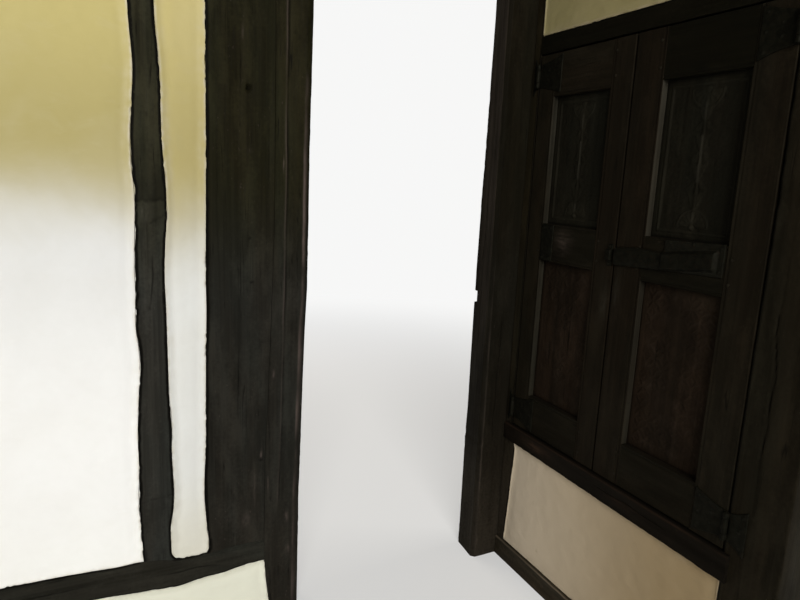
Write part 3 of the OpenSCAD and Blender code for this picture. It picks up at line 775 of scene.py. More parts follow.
upright("wideStud", "wide_stud", wideLeft, wideStud["high"], (wideFoot, headHeight), seed=14, step=0.0072,
        spacing=0.0031, footLine=sillBeam["high"], extraStations=footStations(panelFeet["right"]),
        rimSides=(1, 0.12), raggedSides=(1, 0, 0, 1), rimReach=0.0066, wobble=(0.0006, 0.0006),
        corner=[(0.004, 0.0045), (0.0012, 0.0014), (0.004, 0.004), (0.004, 0.004)],
        cracks=[(-1.060, 0.72, 0.96, 0.012, 0.0015, 0.0015, "front")],
        dents=[(-1.018, 1.744, 0.0085, 0.014, 1.0), (-1.017, 1.305, 0.005, 0.003, 0.8),
               (-1.011, 1.166, 0.006, 0.004, 0.7), (-0.983, 0.572, 0.005, 0.003, 1.4)],
        scuffs=[(-0.983, 0.590, 0.0035, 0.012, 0.7), (-1.004, 0.478, 0.003, 0.05, 0.25),
                (-1.036, 1.900, 0.0025, 0.016, 0.60), (-1.019, 1.566, 0.012, 0.0022, 0.55),
                (-0.980, 0.605, 0.002, 0.03, 0.25), (-1.037, 0.367, 0.014, 0.022, 0.28)],
        knots=[(-1.092, 0.905, 0.013)])
upright("doorPostLeft", "door_post_left", leftPost["low"], leftPost["high"], (0, headHeight), seed=15,
        step=0.008, spacing=0.0022, sideSpacing=0.007, nCorner=9, rimSides=(0.10, 0.0),
        raggedSides=(0, 1, 1, 0),
        corner=[(0.0012, 0.0014), (arrisWidth, lambda t: arrisWidth(t) * arris["depth"]), (0.005, 0.005),
                (0.003, 0.003)],
        roundness=(2, 1.25, 2, 2), wobble=(0.0006, 0.0007), wornCorners=[(1, 1.15, 2.3, 0.16)],
        wornAlong=arrisLight, carve=scratchedGroove,
        scuffs=[(-0.913, 1.528, 0.0020, 0.018, 0.5), (-0.895, 0.351, 0.006, 0.016, 0.6),
                (-0.891, 0.227, 0.007, 0.014, 0.55), (-0.942, 0.865, 0.003, 0.012, 0.5),
                (-0.960, 0.478, 0.002, 0.030, 0.4)],
        cracks=[(0.055, 0.6, 1.4, 0.005, 0.0020, 0.004, "high"),
                (0.090, 1.1, 1.9, -0.004, 0.0018, 0.003, "high")])
chamfer = 0.015
rightNear = nodeEdge("door_post_right", wallAxes, chamfer, -1)
rightFar = nodeEdge("door_post_right", wallAxes, backPlane, -1)
upright("doorPostRight", "door_post_right", rightNear, 0.0, (0, headHeight), seed=16, step=0.0085,
        edges=(rightNear, 0.0, 0.0, rightFar), material=rightPostOak, spacing=0.0034, sideSpacing=0.0046,
        extraStations=[1.0396, 1.0404, 1.0856, 1.0864], reshape=mortisedArris, rimSides=(0, 0.5),
        corner=[(chamfer, chamfer), (0.002, 0.002), (0.003, 0.003), (0.006, 0.006)],
        roundness=(1.15, 2, 2, 2), nCorner=9, wobble=(0.0007, 0.0010), raggedSides=(1, 0, 0, 1.3),
        calmSides=0.3, darkCorners={0: 0.30, 3: 0.6},
        wornCorners=[(0, 1.0, 1.6, 0.97)], wornAlong=rightArrisLight, wornSides=(revealLight, 0),
        wornDepth=backPlane,
        scuffs=[(-0.100, 0.075, 0.004, 0.014, 0.7), (-0.098, 0.20, 0.003, 0.020, 0.5),
                (-0.095, 0.30, 0.004, 0.012, 0.5)],
        cracks=[(-0.060, 0.5, 1.0, 0.01, 0.0020, 0.004, "front"),
                (0.070, 0.9, 1.5, 0.004, 0.0016, 0.003, "low")])
beam("doorHead", "door_head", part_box("door_head")[0].z, headHeight, (-0.825, -0.095), seed=17, spacing=0.006,
     step=0.012, corner=[(0.006, 0.006), (0.003, 0.003), (0.003, 0.003), (0.006, 0.006)])
beam("topPlateFront", "top_plate_front", headHeight, cadHigh[2], (leftEnd, backPlane), seed=18, spacing=0.008,
     step=0.016, corner=[(0.006, 0.006)] * 4, raggedSides=(1, 0, 0, 1))
print("door wall timbers made")


# The return wall

cornerFoot = nodeEdge("corner_post", returnAxes, frontPlane, -1)
sillFoot = nodeEdge("cupboard_sill", returnBeamAxes, backPlane, -1)
nearEnd, farSide = (corner.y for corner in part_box("end_post_right"))
panelEnd = -0.035     # where the return wall's panels meet the corner post
headerBox, sillBox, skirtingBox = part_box("cupboard_header"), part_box("cupboard_sill"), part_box("skirting_board")

upright("cornerPost", "corner_post", cornerFoot, backPlane, (0, headHeight), seed=21, axes=returnAxes,
        material=cornerOak, spacing=0.006, step=0.011, corner=[(0.003, 0.003)] * 4, raggedSides=(1, 0, 0, 0),
        rimSides=(1, 0))
upright("endPostRight", "end_post_right", nearEnd, farSide, (0, headHeight), seed=22, axes=returnAxes,
        material=returnOak, raggedSides=(0, 1, 1, 0), rimSides=(0, 1), wobble=(0.0012, 0.0022),
        spacing=0.0045, step=0.010, corner=[(0.005, 0.005), (0.004, 0.004), (0.004, 0.004), (0.004, 0.004)],
        cracks=[(-1.03, 0.7, 1.3, 0.02, 0.0022, 0.005, "front"),
                (-1.07, 1.4, 2.0, -0.02, 0.0020, 0.004, "front")])
beam("topPlateSide", "top_plate_side", headHeight, cadHigh[2], (nearEnd, 0.0), seed=23, axes=returnBeamAxes,
     material=returnOak, spacing=0.008, step=0.016, corner=[(0.006, 0.006)] * 4, raggedSides=(1, 0, 0, 1))
beam("cupboardHeader", "cupboard_header", headerBox[0].z, headerBox[1].z, (headerBox[0].y, headerBox[1].y),
     seed=24, axes=returnBeamAxes, material=headerOak, corner=[(0.0045, 0.005)] * 4, rimSides=(0, 1),
     wornCorners=[(0, 0.2, 1.2, 0.5)])
print("return wall timbers made")


# Plaster

def plasterPanel(name, node, axes, low, high, bottom, top, columns, rows, material, seed, footLine=None,
                 swellWidth=0.009, uneven=1.0, pits=()):
    # a sheet of limewashed daub between timbers, closed at the back: it swells towards each timber over
    # swellWidth in a ragged line, stops just short of the timber's face, and carries slow lumps, trowel
    # strokes and small pits; low and high are edges along the height, bottom and top are edges along the
    # width, and footLine is where the swelling lies if it isn't at the bottom
    along, across, depth = axes
    lap, inset, backColumns = 0.005, 0.004, 14
    u = 0.5 - 0.5 * np.cos(np.linspace(0, math.pi, columns))
    v = np.linspace(0, 1, rows)
    middle = np.array([sum(edgeAt(edge, np.zeros(1)).item() for edge in (bottom, top)) / 2])
    guessLow, guessHigh = edgeAt(low, middle).item(), edgeAt(high, middle).item()
    guess = guessLow + (guessHigh - guessLow) * u
    foot, crown = np.maximum(edgeAt(bottom, guess) - lap, 0), edgeAt(top, guess) + lap
    heights = foot[None, :] + v[:, None] * (crown - foot)[None, :]

    def overSheet(edge, values):
        return edgeAt(edge, values.reshape(-1)).reshape(values.shape)

    lowEdge, highEdge = overSheet(low, heights), overSheet(high, heights)
    places = lowEdge - lap + (highEdge - lowEdge + 2 * lap) * u[None, :]
    toSide = np.minimum(places - lowEdge, highEdge - places)
    toFoot = heights - overSheet(bottom if footLine is None else footLine, places)
    toTop = overSheet(top, places) - heights
    restless = ease(0.5 + 1.4 * smoothNoise(places / 0.09, heights / 0.11, seed=seed + 2))
    ragged = 0.0006 * layeredNoise(places / 0.05, heights / 0.06, seed=seed) \
        + 0.0021 * restless * layeredNoise(places / 0.011, heights / 0.012, seed=seed + 4)
    gap = np.minimum(np.minimum(toSide, toTop), toFoot) + ragged * uneven
    swell = (inset - 0.0010) * np.exp(-np.clip(gap - 0.0015, 0, None) ** 2 / swellWidth ** 2)
    nicked = ease((0.0005 - gap) / 0.0018) * 0.0065
    dip = 0.0020 * uneven * np.exp(-((gap - 0.022) / 0.012) ** 2)
    lumps = 0.0016 * layeredNoise(places / 0.11, heights / 0.15, seed=seed + 7, layers=2) \
        + 0.0007 * layeredNoise(places / 0.030, heights / 0.024, seed=seed + 11, layers=2)
    pitted = np.zeros(places.shape)
    for pitPlace, pitHeight, radius in pits:
        squared = (places - pitPlace) ** 2 + (heights - pitHeight) ** 2
        pitted = np.maximum(pitted, np.exp(-squared / radius ** 2))
    front = inset + np.clip(dip + lumps - swell, 0.0010 - inset, 0.006) + nicked + 0.0030 * pitted
    backU = np.linspace(1, 0, backColumns)
    points = np.zeros((rows, columns + backColumns, 3))
    for layer, values in ((depth, front), (across, places), (along, heights)):
        points[:, :columns, layer] = values
        points[:, columns:, layer] = values[:, :1] + (values[:, -1:] - values[:, :1]) * backU[None, :]
    points[:, columns:, depth] = backPlane - inset \
        - 0.0012 * (1 + smoothNoise(v[:, None] * 9, backU[None, :] * 5, seed=seed + 13))
    ringSize = columns + backColumns
    mesh = buildMesh(name, points.reshape(-1, 3), ringQuads(rows, ringSize), ringCaps(rows, ringSize),
                     turnsInward(axes), 60)
    stains = 0.16 * (1 + layeredNoise(places / 0.05, heights / 0.07, seed=seed + 21))
    grimy = np.exp(-(np.clip(gap - 0.001, 0, None) / 0.0045) ** 2) * 0.9 \
        + stains * np.exp(-((gap - 0.014) / 0.010) ** 2)
    dirt = np.clip(np.concatenate([grimy + 1.6 * pitted, np.zeros((rows, backColumns))], 1), 0, 1)
    storeNumbers(mesh, "rim", dirt.reshape(-1))
    addPiece(name, mesh, "wall", [node], material)


plasterPanel("plasterWide", "plaster_wide_panel", wallAxes, leftPanel, wavyStud["low"], sillBeam["high"],
             headHeight, 92, 360, whitePlaster, 31)
plasterPanel("plasterNarrow", "plaster_narrow_panel", wallAxes, wavyRight, wideLeft, sillBeam["high"],
             headHeight, 46, 420, narrowPlaster, 32)
plasterPanel("plasterPlinth", "plinth", wallAxes, leftPanel, leftPost["low"], 0.0, sillBeam["low"], 190, 60,
             plinthPlaster, 33)
plasterPanel("plasterOverCupboard", "plaster_over_cupboard", returnAxes, farSide, panelEnd, headerBox[1].z,
             headHeight, 190, 56, dimPlaster, 34, swellWidth=0.004, uneven=0.35)
plasterPanel("plasterUnderCupboard", "plaster_under_cupboard", returnAxes, farSide, cornerFoot, 0.0, sillFoot,
             150, 84, dimPlaster, 35, footLine=skirtingBox[1].z, swellWidth=0.004, uneven=0.35,
             pits=[(-0.240, 0.143, 0.0042)])
print("plaster made")


# Sill and skirting of the cupboard wall

nosing = {"proud": 0.012, "lift": 0.002}     # the sill's rounded front, a little above its underside


def sillUnder(t):
    # the sill's underside, as the CAD's sill has it at the back
    return edgeAt(sillFoot, t)


beam("sillBody", "cupboard_sill", sillUnder, sillBox[1].z, (farSide, panelEnd), seed=25, axes=returnBeamAxes,
     slot="brown_oak", material=sillOak, corner=[(0.003, 0.003)] * 4, spacing=0.006, step=0.012)
# the pale patches on the nosing, in the sill's orange bare colour, are a painted reddish glow
beam("sillNosing", "cupboard_sill", lambda t: sillUnder(t) + nosing["lift"], sillBox[1].z,
     (sillBox[0].y, sillBox[1].y), seed=26, axes=returnBeamAxes, slot="brown_oak", material=sillOak,
     front=-nosing["proud"], back=0.004, rimSides=(0.6, 0), raggedSides=(1, 0.4, 0, 0), nCorner=7, step=0.006,
     corner=[(0.005, 0.005), (0.009, 0.008), (0.001, 0.001), (0.001, 0.001)], sideSpacing=0.005,
     relief=(0.0016, 0.0010, 0.0004), wornCorners=[(1, 0.25, 1.8, 0.4)],
     scuffs=[(0.545, -0.20, 0.016, 0.07, 0.5), (0.535, -0.62, 0.010, 0.05, 0.25)],
     cracks=[(0.540, -0.80, -0.50, 0.01, 0.0018, 0.003, "front")])
beam("skirting", "skirting_board", 0.0, skirtingBox[1].z, (skirtingBox[0].y, skirtingBox[1].y), seed=27,
     axes=returnBeamAxes, slot="brown_oak", material=skirtingOak, front=skirtingBox[0].x, back=0.006,
     corner=[(0.002, 0.002), (0.006, 0.006), (0.001, 0.001), (0.001, 0.001)], nCorner=6, sideSpacing=0.005,
     relief=(0.0012, 0.0006, 0.0003), wornCorners=[(1, 0.9, 2.2, 0.4)], raggedSides=(0, 0.5, 0, 0),
     rimSides=(0.5, 0))
print("sill and skirting made")


# Frames of the two cupboard leaves

leafDepth = 0.034
scratchBead = {"inset": 0.0085, "width": 0.0022, "depth": 0.0024}
leafFrame = {"slot": "black_oak", "back": leafDepth, "corner": [(0.0022, 0.0022)] * 4, "nCorner": 4,
             "spacing": 0.0026, "step": 0.010, "sideSpacing": 0.008, "backSpacing": 0.02,
             "wobble": (0.0002, 0.0002), "relief": (0.0009, 0.0005, 0.0003), "rimSides": (0.15, 0.15)}
# a stile's own side: 1 where the panel lies below it along the wall, -1 where it lies above; the pair
# of side values is painted light: how pale the side of the stile is that faces the light, below and above
# the middle rail
leaves = {"near": {"stiles": (("Hinge", 1, -0.121, -0.040), ("Meeting", -1, -0.4745, -0.388)),
                   "inner": (-0.388, -0.121), "sideWear": (0.30, 0.38)},
          "far": {"stiles": (("Meeting", 1, -0.589, -0.4815), ("Hinge", -1, -0.964, -0.859)),
                  "inner": (-0.859, -0.589), "sideWear": (0.37, 0.62)}}
leafHeights = (0.582, 1.945)
railHeights = {"Bottom": (0.582, 0.720), "Middle": (1.236, 1.368), "Top": (1.803, 1.945)}
# painted light and shade: the near leaf's top rail takes a lighter oak and the far leaf's a darker one
railColours = {("near", "Top"): leafOak, ("far", "Top"): headerOak}
# the pale patch on the near middle rail is a painted sheen
leafScuffs = {"nearMiddleRail": [(1.312, -0.236, 0.040, 0.034, 0.55)],
              "nearMeetingStile": [(-0.455, 1.14, 0.016, 0.05, 0.40)],
              "farMeetingStile": [(-0.500, 1.18, 0.012, 0.06, 0.30)]}


def beadedEdge(low, high):
    # a scratched groove beside each edge that a panel meets, bell-shaped across, so that a bead is left at
    # the edge; an edge without a panel is None
    def carve(w, d, t, nw, nd):
        cut = np.zeros(w.shape)
        for edge, side in ((low, 1), (high, -1)):
            if edge is not None:
                cut = cut + np.exp(-((w - edge - side * scratchBead["inset"]) / scratchBead["width"]) ** 2)
        cut = cut * (nd < -0.7) * (0.8 + 0.2 * smoothNoise(t / 0.08, seed=5))
        return scratchBead["depth"] * cut, 0.55 * cut, 0 * cut
    return carve


def leafMember(leaf, label, kind, low, high, span, seed, beads, **more):
    # kind is the end of the CAD node's name
    own = {"seed": seed, "body": leaf + "_leaf", "carve": beadedEdge(*beads),
           "scuffs": leafScuffs.get(leaf + label, [])}
    upright(leaf + label, leaf + "_leaf_" + kind, low, high, span, **(leafFrame | own | more))


def wornByHeight(below, above):
    # one value below the middle rail and another above it, eased between them
    return lambda t: below + (above - below) * ease((t - 1.22) / 0.16)


for k, (leaf, values) in enumerate(leaves.items()):
    wornPart = wornByHeight(*values["sideWear"])
    for j, (label, side, low, high) in enumerate(values["stiles"]):
        leafMember(leaf, label + "Stile", "stiles", low, high, leafHeights, 41 + 10 * k + j,
                   (low, None) if side > 0 else (None, high), axes=returnAxes,
                   material=meetingOak if label == "Meeting" else leafOak,
                   wornSides=(wornPart if side > 0 else 0.0, 0.0))
    # the top face of each rail is a little paler: painted light
    for j, (label, (low, high)) in enumerate(railHeights.items()):
        leafMember(leaf, label + "Rail", "rails", low, high, values["inner"], 44 + 10 * k + j,
                   (None if label == "Bottom" else low, None if label == "Top" else high),
                   axes=returnBeamAxes, material=railColours.get((leaf, label), railOak),
                   wornSides=(0.0, 0.09))
print("leaf frames made")


# Solids whose front is a sheet of heights

def backedSheet(face, backPlace):
    # face (rows, columns, 3) looks towards -X: walls run back from its border to a flat back
    rows, columns = face.shape[:2]
    index = np.arange(rows * columns).reshape(rows, columns)
    rim = np.concatenate([index[0, :-1], index[:-1, -1], index[-1, :0:-1], index[:0:-1, 0]])
    points = face.reshape(-1, 3)
    back = points[rim].copy()
    back[:, 0] = backPlace
    count = len(rim)
    behind = rows * columns + np.arange(count)
    ahead = np.roll(np.arange(count), -1)
    sides = np.stack([rim, rim[ahead], behind[ahead], behind], -1)
    quads = np.concatenate([sheetQuads(rows, columns)[:, ::-1], sides])
    return np.concatenate([points, back]), quads, [behind]


def panelMesh(leaf, which, heights, relief, material, seed, spacing=0.0027):
    # a board whose face is a height above its ground, worked out on a grid; the back is flat
    name = leaf + which + "Panel"
    (low, high), (bottom, top) = leaves[leaf]["inner"], heights
    columns, rows = int((high - low) / spacing) + 1, int((top - bottom) / spacing) + 1
    y, z = np.meshgrid(np.linspace(low, high, columns), np.linspace(bottom, top, rows))
    raised, tone = relief(y - (low + high) / 2, z - bottom, (high - low) / 2, top - bottom)
    grainRelief = 0.0004 * smoothNoise(y / 0.006, z / 0.12, seed=seed) \
        + 0.0006 * layeredNoise(y / 0.05, z / 0.14, seed=seed + 3)
    points, quads, caps = backedSheet(np.stack([0.022 - raised + grainRelief, y, z], -1), leafDepth)
    mesh = buildMesh(name, points, quads, caps, False, 60)
    storeNumbers(mesh, "grain", points[:, [1, 0, 2]] + [0, 0, seed * 3.7])
    toEdge = np.minimum(np.minimum(y - low, high - y), np.minimum(z - bottom, top - z))
    for label, values, unseen in (("crack", np.clip(tone, 0, 1), 0), ("worn", np.clip(-tone, 0, 1), 0),
                                  ("rim", 0.8 * np.exp(-(toEdge / 0.006) ** 2), 1)):
        behind = np.full(len(points) - y.size, unseen)
        storeNumbers(mesh, label, np.concatenate([values.reshape(-1), behind]))
    addPiece(name, mesh, leaf + "_leaf", [leaf + "_leaf_" + which.lower() + "_panel"], material)


def halfRound(distance, halfWidth):
    # the square root of 1 - (distance / halfWidth) squared
    return np.sqrt(np.clip(1 - (distance / halfWidth) ** 2, 0, 1))


upperCarving = {"margin": 0.021, "bead": 0.0045, "beadHeight": 0.0020, "stem": 0.0050, "stemHeight": 0.0036,
                "leafLength": 0.060, "leafWidth": 0.020, "leafHeight": 0.0032, "firstLeaf": 0.085,
                "leafStep": 0.078, "pairs": 4, "berry": 0.0085, "berryHeight": 0.0044,
                "fan": 0.043, "fanFoot": 0.036, "flutes": 7}


def stemAndLeaves(side, up, halfWidth, height):
    # half-round ridges: a bead round the border, a stem up the middle with small berries, pairs of pointed
    # leaves curling away from it, and a fan of flutes in an arc at the top and bottom
    c = upperCarving
    across = np.abs(side)
    toEdge = np.minimum(halfWidth - across, np.minimum(up, height - up))
    border = c["beadHeight"] * halfRound(toEdge - c["margin"], c["bead"])
    inside = ease((toEdge - c["margin"] - 0.002) / 0.004)
    matting = 0.0006 * smoothNoise(side / 0.0042, up / 0.0042, seed=61)
    stemEnds = ease((up - 0.040) / 0.01) * ease((height - 0.040 - up) / 0.01)
    design = c["stemHeight"] * halfRound(across, c["stem"] * (1.15 - 0.3 * up / height)) * stemEnds
    for k in range(c["pairs"]):
        base = c["firstLeaf"] + k * c["leafStep"]
        size = 1.0 - 0.06 * k
        for direction, angle, reach in ((1, 0.62, 1.0), (-1, 1.15, 0.72)):
            du, dv = across - 0.004, (up - base) * direction
            lengthwise = du * math.sin(angle) + dv * math.cos(angle)
            bend = 0.012 * np.sin(np.clip(lengthwise / (c["leafLength"] * reach), 0, 1) * 2.4)
            crosswise = du * math.cos(angle) - dv * math.sin(angle) + bend
            s = lengthwise / (c["leafLength"] * size * reach)
            lobed = 1 + 0.10 * np.cos(s * 26)
            outline = c["leafWidth"] * 0.5 * size * np.sin(np.pi * np.clip(s, 0, 1) ** 0.8) * lobed
            shape = halfRound(crosswise, np.maximum(outline, 1e-5)) * (s > 0) * (s < 1)
            rib = 0.0013 * np.exp(-(crosswise / 0.0016) ** 2) * (s > 0.05) * (s < 0.9)
            design = np.maximum(design, c["leafHeight"] * shape * (1 - 0.35 * s) - rib * (shape > 0))
    for k in range(c["pairs"] - 1):
        berry = np.hypot(across, up - c["firstLeaf"] - (k + 0.5) * c["leafStep"])
        design = np.maximum(design, c["berryHeight"] * halfRound(berry, c["berry"]))
    for middle, direction in ((c["fanFoot"], 1), (height - c["fanFoot"], -1)):
        radius = np.hypot(across, up - middle)
        above = (up - middle) * direction
        turn = np.arctan2(np.maximum(above, 0), across + 1e-9)
        flute = 0.0018 + 0.0018 * np.abs(np.sin(turn * c["flutes"]))
        fan = flute * ease((c["fan"] - radius) / 0.003) * ease((above + 0.001) / 0.003)
        fan = fan * ease((radius - 0.010) / 0.003)
        band = 0.0034 * halfRound(radius - c["fan"] - 0.004, 0.0036) * (above > -0.001)
        button = 0.0042 * halfRound(radius, 0.0095)
        design = np.maximum(design, np.maximum(fan, np.maximum(band, button)))
    wear = 0.72 + 0.28 * layeredNoise(side / 0.07, up / 0.09, seed=66)
    raised = border + inside * (design * wear + matting * (design < 0.0008) - 0.0018)
    deep = inside * np.exp(-(design / 0.0009) ** 2) * 0.24
    patchy = ease(0.5 + 1.3 * smoothNoise(side / 0.05, up / 0.055, seed=64))
    # painted highlight: a broken pale line down the stem; the high places of the carving are paler too, partly
    # rubbed wear and partly painted highlight
    stem = np.exp(-(across / 0.0035) ** 2) * ease(0.12 + 2.2 * smoothNoise(up / 0.033, seed=67)) * stemEnds
    high = ease((design * wear - 0.0030) / 0.0016) * 0.24 * patchy + 0.52 * stem
    return raised, deep - high


lowerCarving = {"pitch": 0.066, "band": 0.0056, "height": 0.0024, "margin": 0.015}


def circlesWornDown(wear, seed):
    def relief(side, up, halfWidth, height):
        # bell-shaped bands along overlapping circles on a square net, with a small boss in each, worn down
        # unevenly
        c = lowerCarving
        toEdge = np.minimum(halfWidth - np.abs(side), np.minimum(up, height - up))
        inside = ease((toEdge - c["margin"]) / 0.005)
        bands = np.zeros(side.shape)
        for shiftSide, shiftUp in ((0, 0), (0.5, 0.5)):
            a = (side / c["pitch"] + shiftSide + 0.5) % 1 - 0.5
            b = (up / c["pitch"] + shiftUp + 0.5) % 1 - 0.5
            radius = np.hypot(a, b) * c["pitch"]
            bands = np.maximum(bands, np.exp(-((radius - 0.5 * c["pitch"]) / (0.62 * c["band"])) ** 2))
            bands = np.maximum(bands, 0.9 * np.exp(-(radius / 0.0055) ** 2))
            petals = np.abs(np.cos(2 * np.arctan2(b, a))) * ease((0.30 * c["pitch"] - radius) / 0.004) \
                * ease((radius - 0.009) / 0.003)
            bands = np.maximum(bands, 0.5 * petals)
        worn = np.clip(wear + 0.5 * layeredNoise(side / 0.06, up / 0.08, seed=seed), 0.10, 1)
        raised = inside * c["height"] * bands * worn - 0.0010 * inside
        tone = inside * worn * (0.10 * (1 - ease(bands / 0.3)) - 0.08 * ease((bands - 0.65) / 0.3))
        blotches = layeredNoise(side / 0.024, up / 0.030, seed=seed + 5, layers=2)
        tone = tone + inside * (0.22 * ease(blotches) - 0.12 * ease(-blotches - 0.2))
        return raised, tone
    return relief


upperHeights = (railHeights["Middle"][1], railHeights["Top"][0])
lowerHeights = (railHeights["Bottom"][1], railHeights["Middle"][0])
for leaf, seed in (("near", 71), ("far", 72)):
    panelMesh(leaf, "Upper", upperHeights, stemAndLeaves, panelOak, seed)
for leaf, wear, seed in (("near", 0.30, 73), ("far", 0.55, 74)):
    panelMesh(leaf, "Lower", lowerHeights, circlesWornDown(wear, seed), redOak, seed)
print("panels made")


# Ironwork of the leaves

ironwork = {"thick": 0.003, "height": 0.126, "knuckle": 0.0075, "pin": 0.004, "clear": 0.00006, "waist": 0.62,
            "gap": 0.0005, "outer": 0.4, "plates": {"near": (0.118, 0.026), "far": (0.100, 0.056)}}
pinPlace = -ironwork["knuckle"]
pinLines = {"near": -0.0375, "far": -0.9665}
hingeFeet = (0.588, 1.813)
# places of nails as shares of a plate's width and height: each leaf's plates, and the post's beside each leaf
leafNails = [(0.84, 0.14), (0.84, 0.5), (0.84, 0.86), (0.40, 0.38), (0.40, 0.62)]
postNails = {"near": [(0.62, 0.24), (0.62, 0.76)], "far": [(0.75, 0.16), (0.62, 0.5), (0.75, 0.84)]}


def mergedSolids(solids):
    # several solids as one mesh: each one's indices are moved up by the points before it
    points, quads, caps, count = [], [], [], 0
    for somePoints, someQuads, someCaps in solids:
        points.append(somePoints)
        quads.append(someQuads + count)
        caps += [cap + count for cap in someCaps]
        count += len(somePoints)
    return np.concatenate(points), np.concatenate(quads), caps


def finelyEdged(low, high, spacing, lip=0.0030):
    # even stations with closer ones next to both ends, for an eased edge
    ends = lip * np.array([0, 0.12, 0.32, 0.6])
    count = max(2, int((high - low - 2 * lip) / spacing))
    return np.concatenate([low + ends, np.linspace(low + lip, high - lip, count), high - ends[::-1]])


def lineAt(line, y):
    # a function of y, one height, or the broken line through the points of two lists
    if callable(line):
        return line(y)
    return 0 * y + line if np.isscalar(line) else np.interp(y, *line)


def forgedPlate(span, lowLine, highLine, thick, nails=(), seed=1, spacing=0.0023, shape=None, nail=0.0048):
    # a plate against the face of the leaf: between a low and a high line along the wall its height above
    # the face is its thickness, eased at the border by a quarter ellipse and hammered, with a domed head
    # for each nail
    s = finelyEdged(span[0], span[1], spacing)
    low, high = lineAt(lowLine, s), lineAt(highLine, s)
    tallest = (high - low).max()
    v = finelyEdged(0, tallest, spacing) / tallest
    y = np.repeat(s[None, :], len(v), 0)
    z = low[None, :] + v[:, None] * (high - low)[None, :]
    toEdge = np.minimum(np.minimum(y - span[0], span[1] - y), np.minimum(z - low, high - z))
    height = thick if shape is None else shape(y, z)
    eased = np.sqrt(np.clip(1 - (1 - np.clip(toEdge / 0.0022, 0, 1)) ** 2, 0, 1))
    hammered = 0.00030 * layeredNoise(y / 0.011, z / 0.011, seed=seed, layers=2) * ease(toEdge / 0.004)
    height = height * (0.30 + 0.70 * eased) + hammered
    for nailY, nailZ in nails:
        distance = np.hypot(y - nailY, z - nailZ)
        groove = 0.0004 * np.exp(-((distance - nail) / 0.0010) ** 2)
        height = height + 0.0021 * halfRound(distance, nail) - groove
    ragged = ease((0.003 - toEdge) / 0.003)
    y = y + 0.0005 * smoothNoise(z / 0.013, seed=seed + 2) * ragged
    z = z + 0.0005 * smoothNoise(y / 0.013, seed=seed + 4) * ragged
    return backedSheet(np.stack([-height, y, z], -1), 0.0008)


def barrel(y, z0, z1, radius, bore=0.0, eased=0.0008, sides=28):
    # a knuckle or pin: its upright profile carried round the hinge's axis, with eased ends, and hollow
    # where bored
    less = 0.3 * eased
    profile = [(radius - eased, z0), (radius - less, z0 + less), (radius, z0 + eased), (radius, z1 - eased),
               (radius - less, z1 - less), (radius - eased, z1)]
    if bore:
        profile += [(bore, z1), (bore, z0)]
    r, z = np.array(profile).T
    a = np.linspace(0, 2 * math.pi, sides, endpoint=False)
    hammered = 0.012 * smoothNoise(a[None, :] * 1.6, z[:, None] / 0.009, seed=int(1000 * z0))
    outside = r[:, None] > ironwork["pin"] + 0.0010     # pins and bores run true
    reach, z = r[:, None] * (1 + hammered * outside), np.repeat(z[:, None], sides, 1)
    rings = np.stack([pinPlace - reach * np.cos(a), y - reach * np.sin(a), z], -1)
    quads = ringQuads(len(profile), sides)
    if not bore:
        return rings.reshape(-1, 3), quads, ringCaps(len(profile), sides)
    closing = np.stack([quads[-sides:, 3], quads[-sides:, 2], quads[:sides, 1], quads[:sides, 0]], -1)
    return rings.reshape(-1, 3), np.concatenate([quads, closing]), []


def addIron(name, node, body, solids, material=blackIron):
    # rubbed a little all over, and more where heads of nails stand proud of a plate
    points, quads, caps = mergedSolids(solids)
    mesh = buildMesh(name, points, quads, caps, False, 45)
    proud = np.clip((-points[:, 0] - ironwork["thick"] - 0.0009) / 0.0014, 0, 1) * (points[:, 0] > -0.0062)
    storeNumbers(mesh, "worn", proud * 0.30 + 0.06)
    addPiece(name, mesh, body, [node], material)


def flaredPlate(pinY, away, foot, width, nails, seed):
    # narrow at the pin and full height at its end: the flare grows as the distance to the power of 1.5
    c = ironwork
    start, end = sorted((pinY + away * c["knuckle"], pinY + away * width))
    reach, pinch = width - c["knuckle"], c["height"] * (1 - c["waist"]) / 2

    def narrowed(y):
        return pinch * (1 - np.clip((np.abs(y - pinY) - c["knuckle"]) / reach, 0, 1) ** 1.5)

    spots = [(pinY + away * (c["knuckle"] + a * reach), foot + b * c["height"]) for a, b in nails]
    return forgedPlate((start, end), lambda y: foot + narrowed(y), lambda y: foot + c["height"] - narrowed(y),
                       c["thick"], spots, seed)


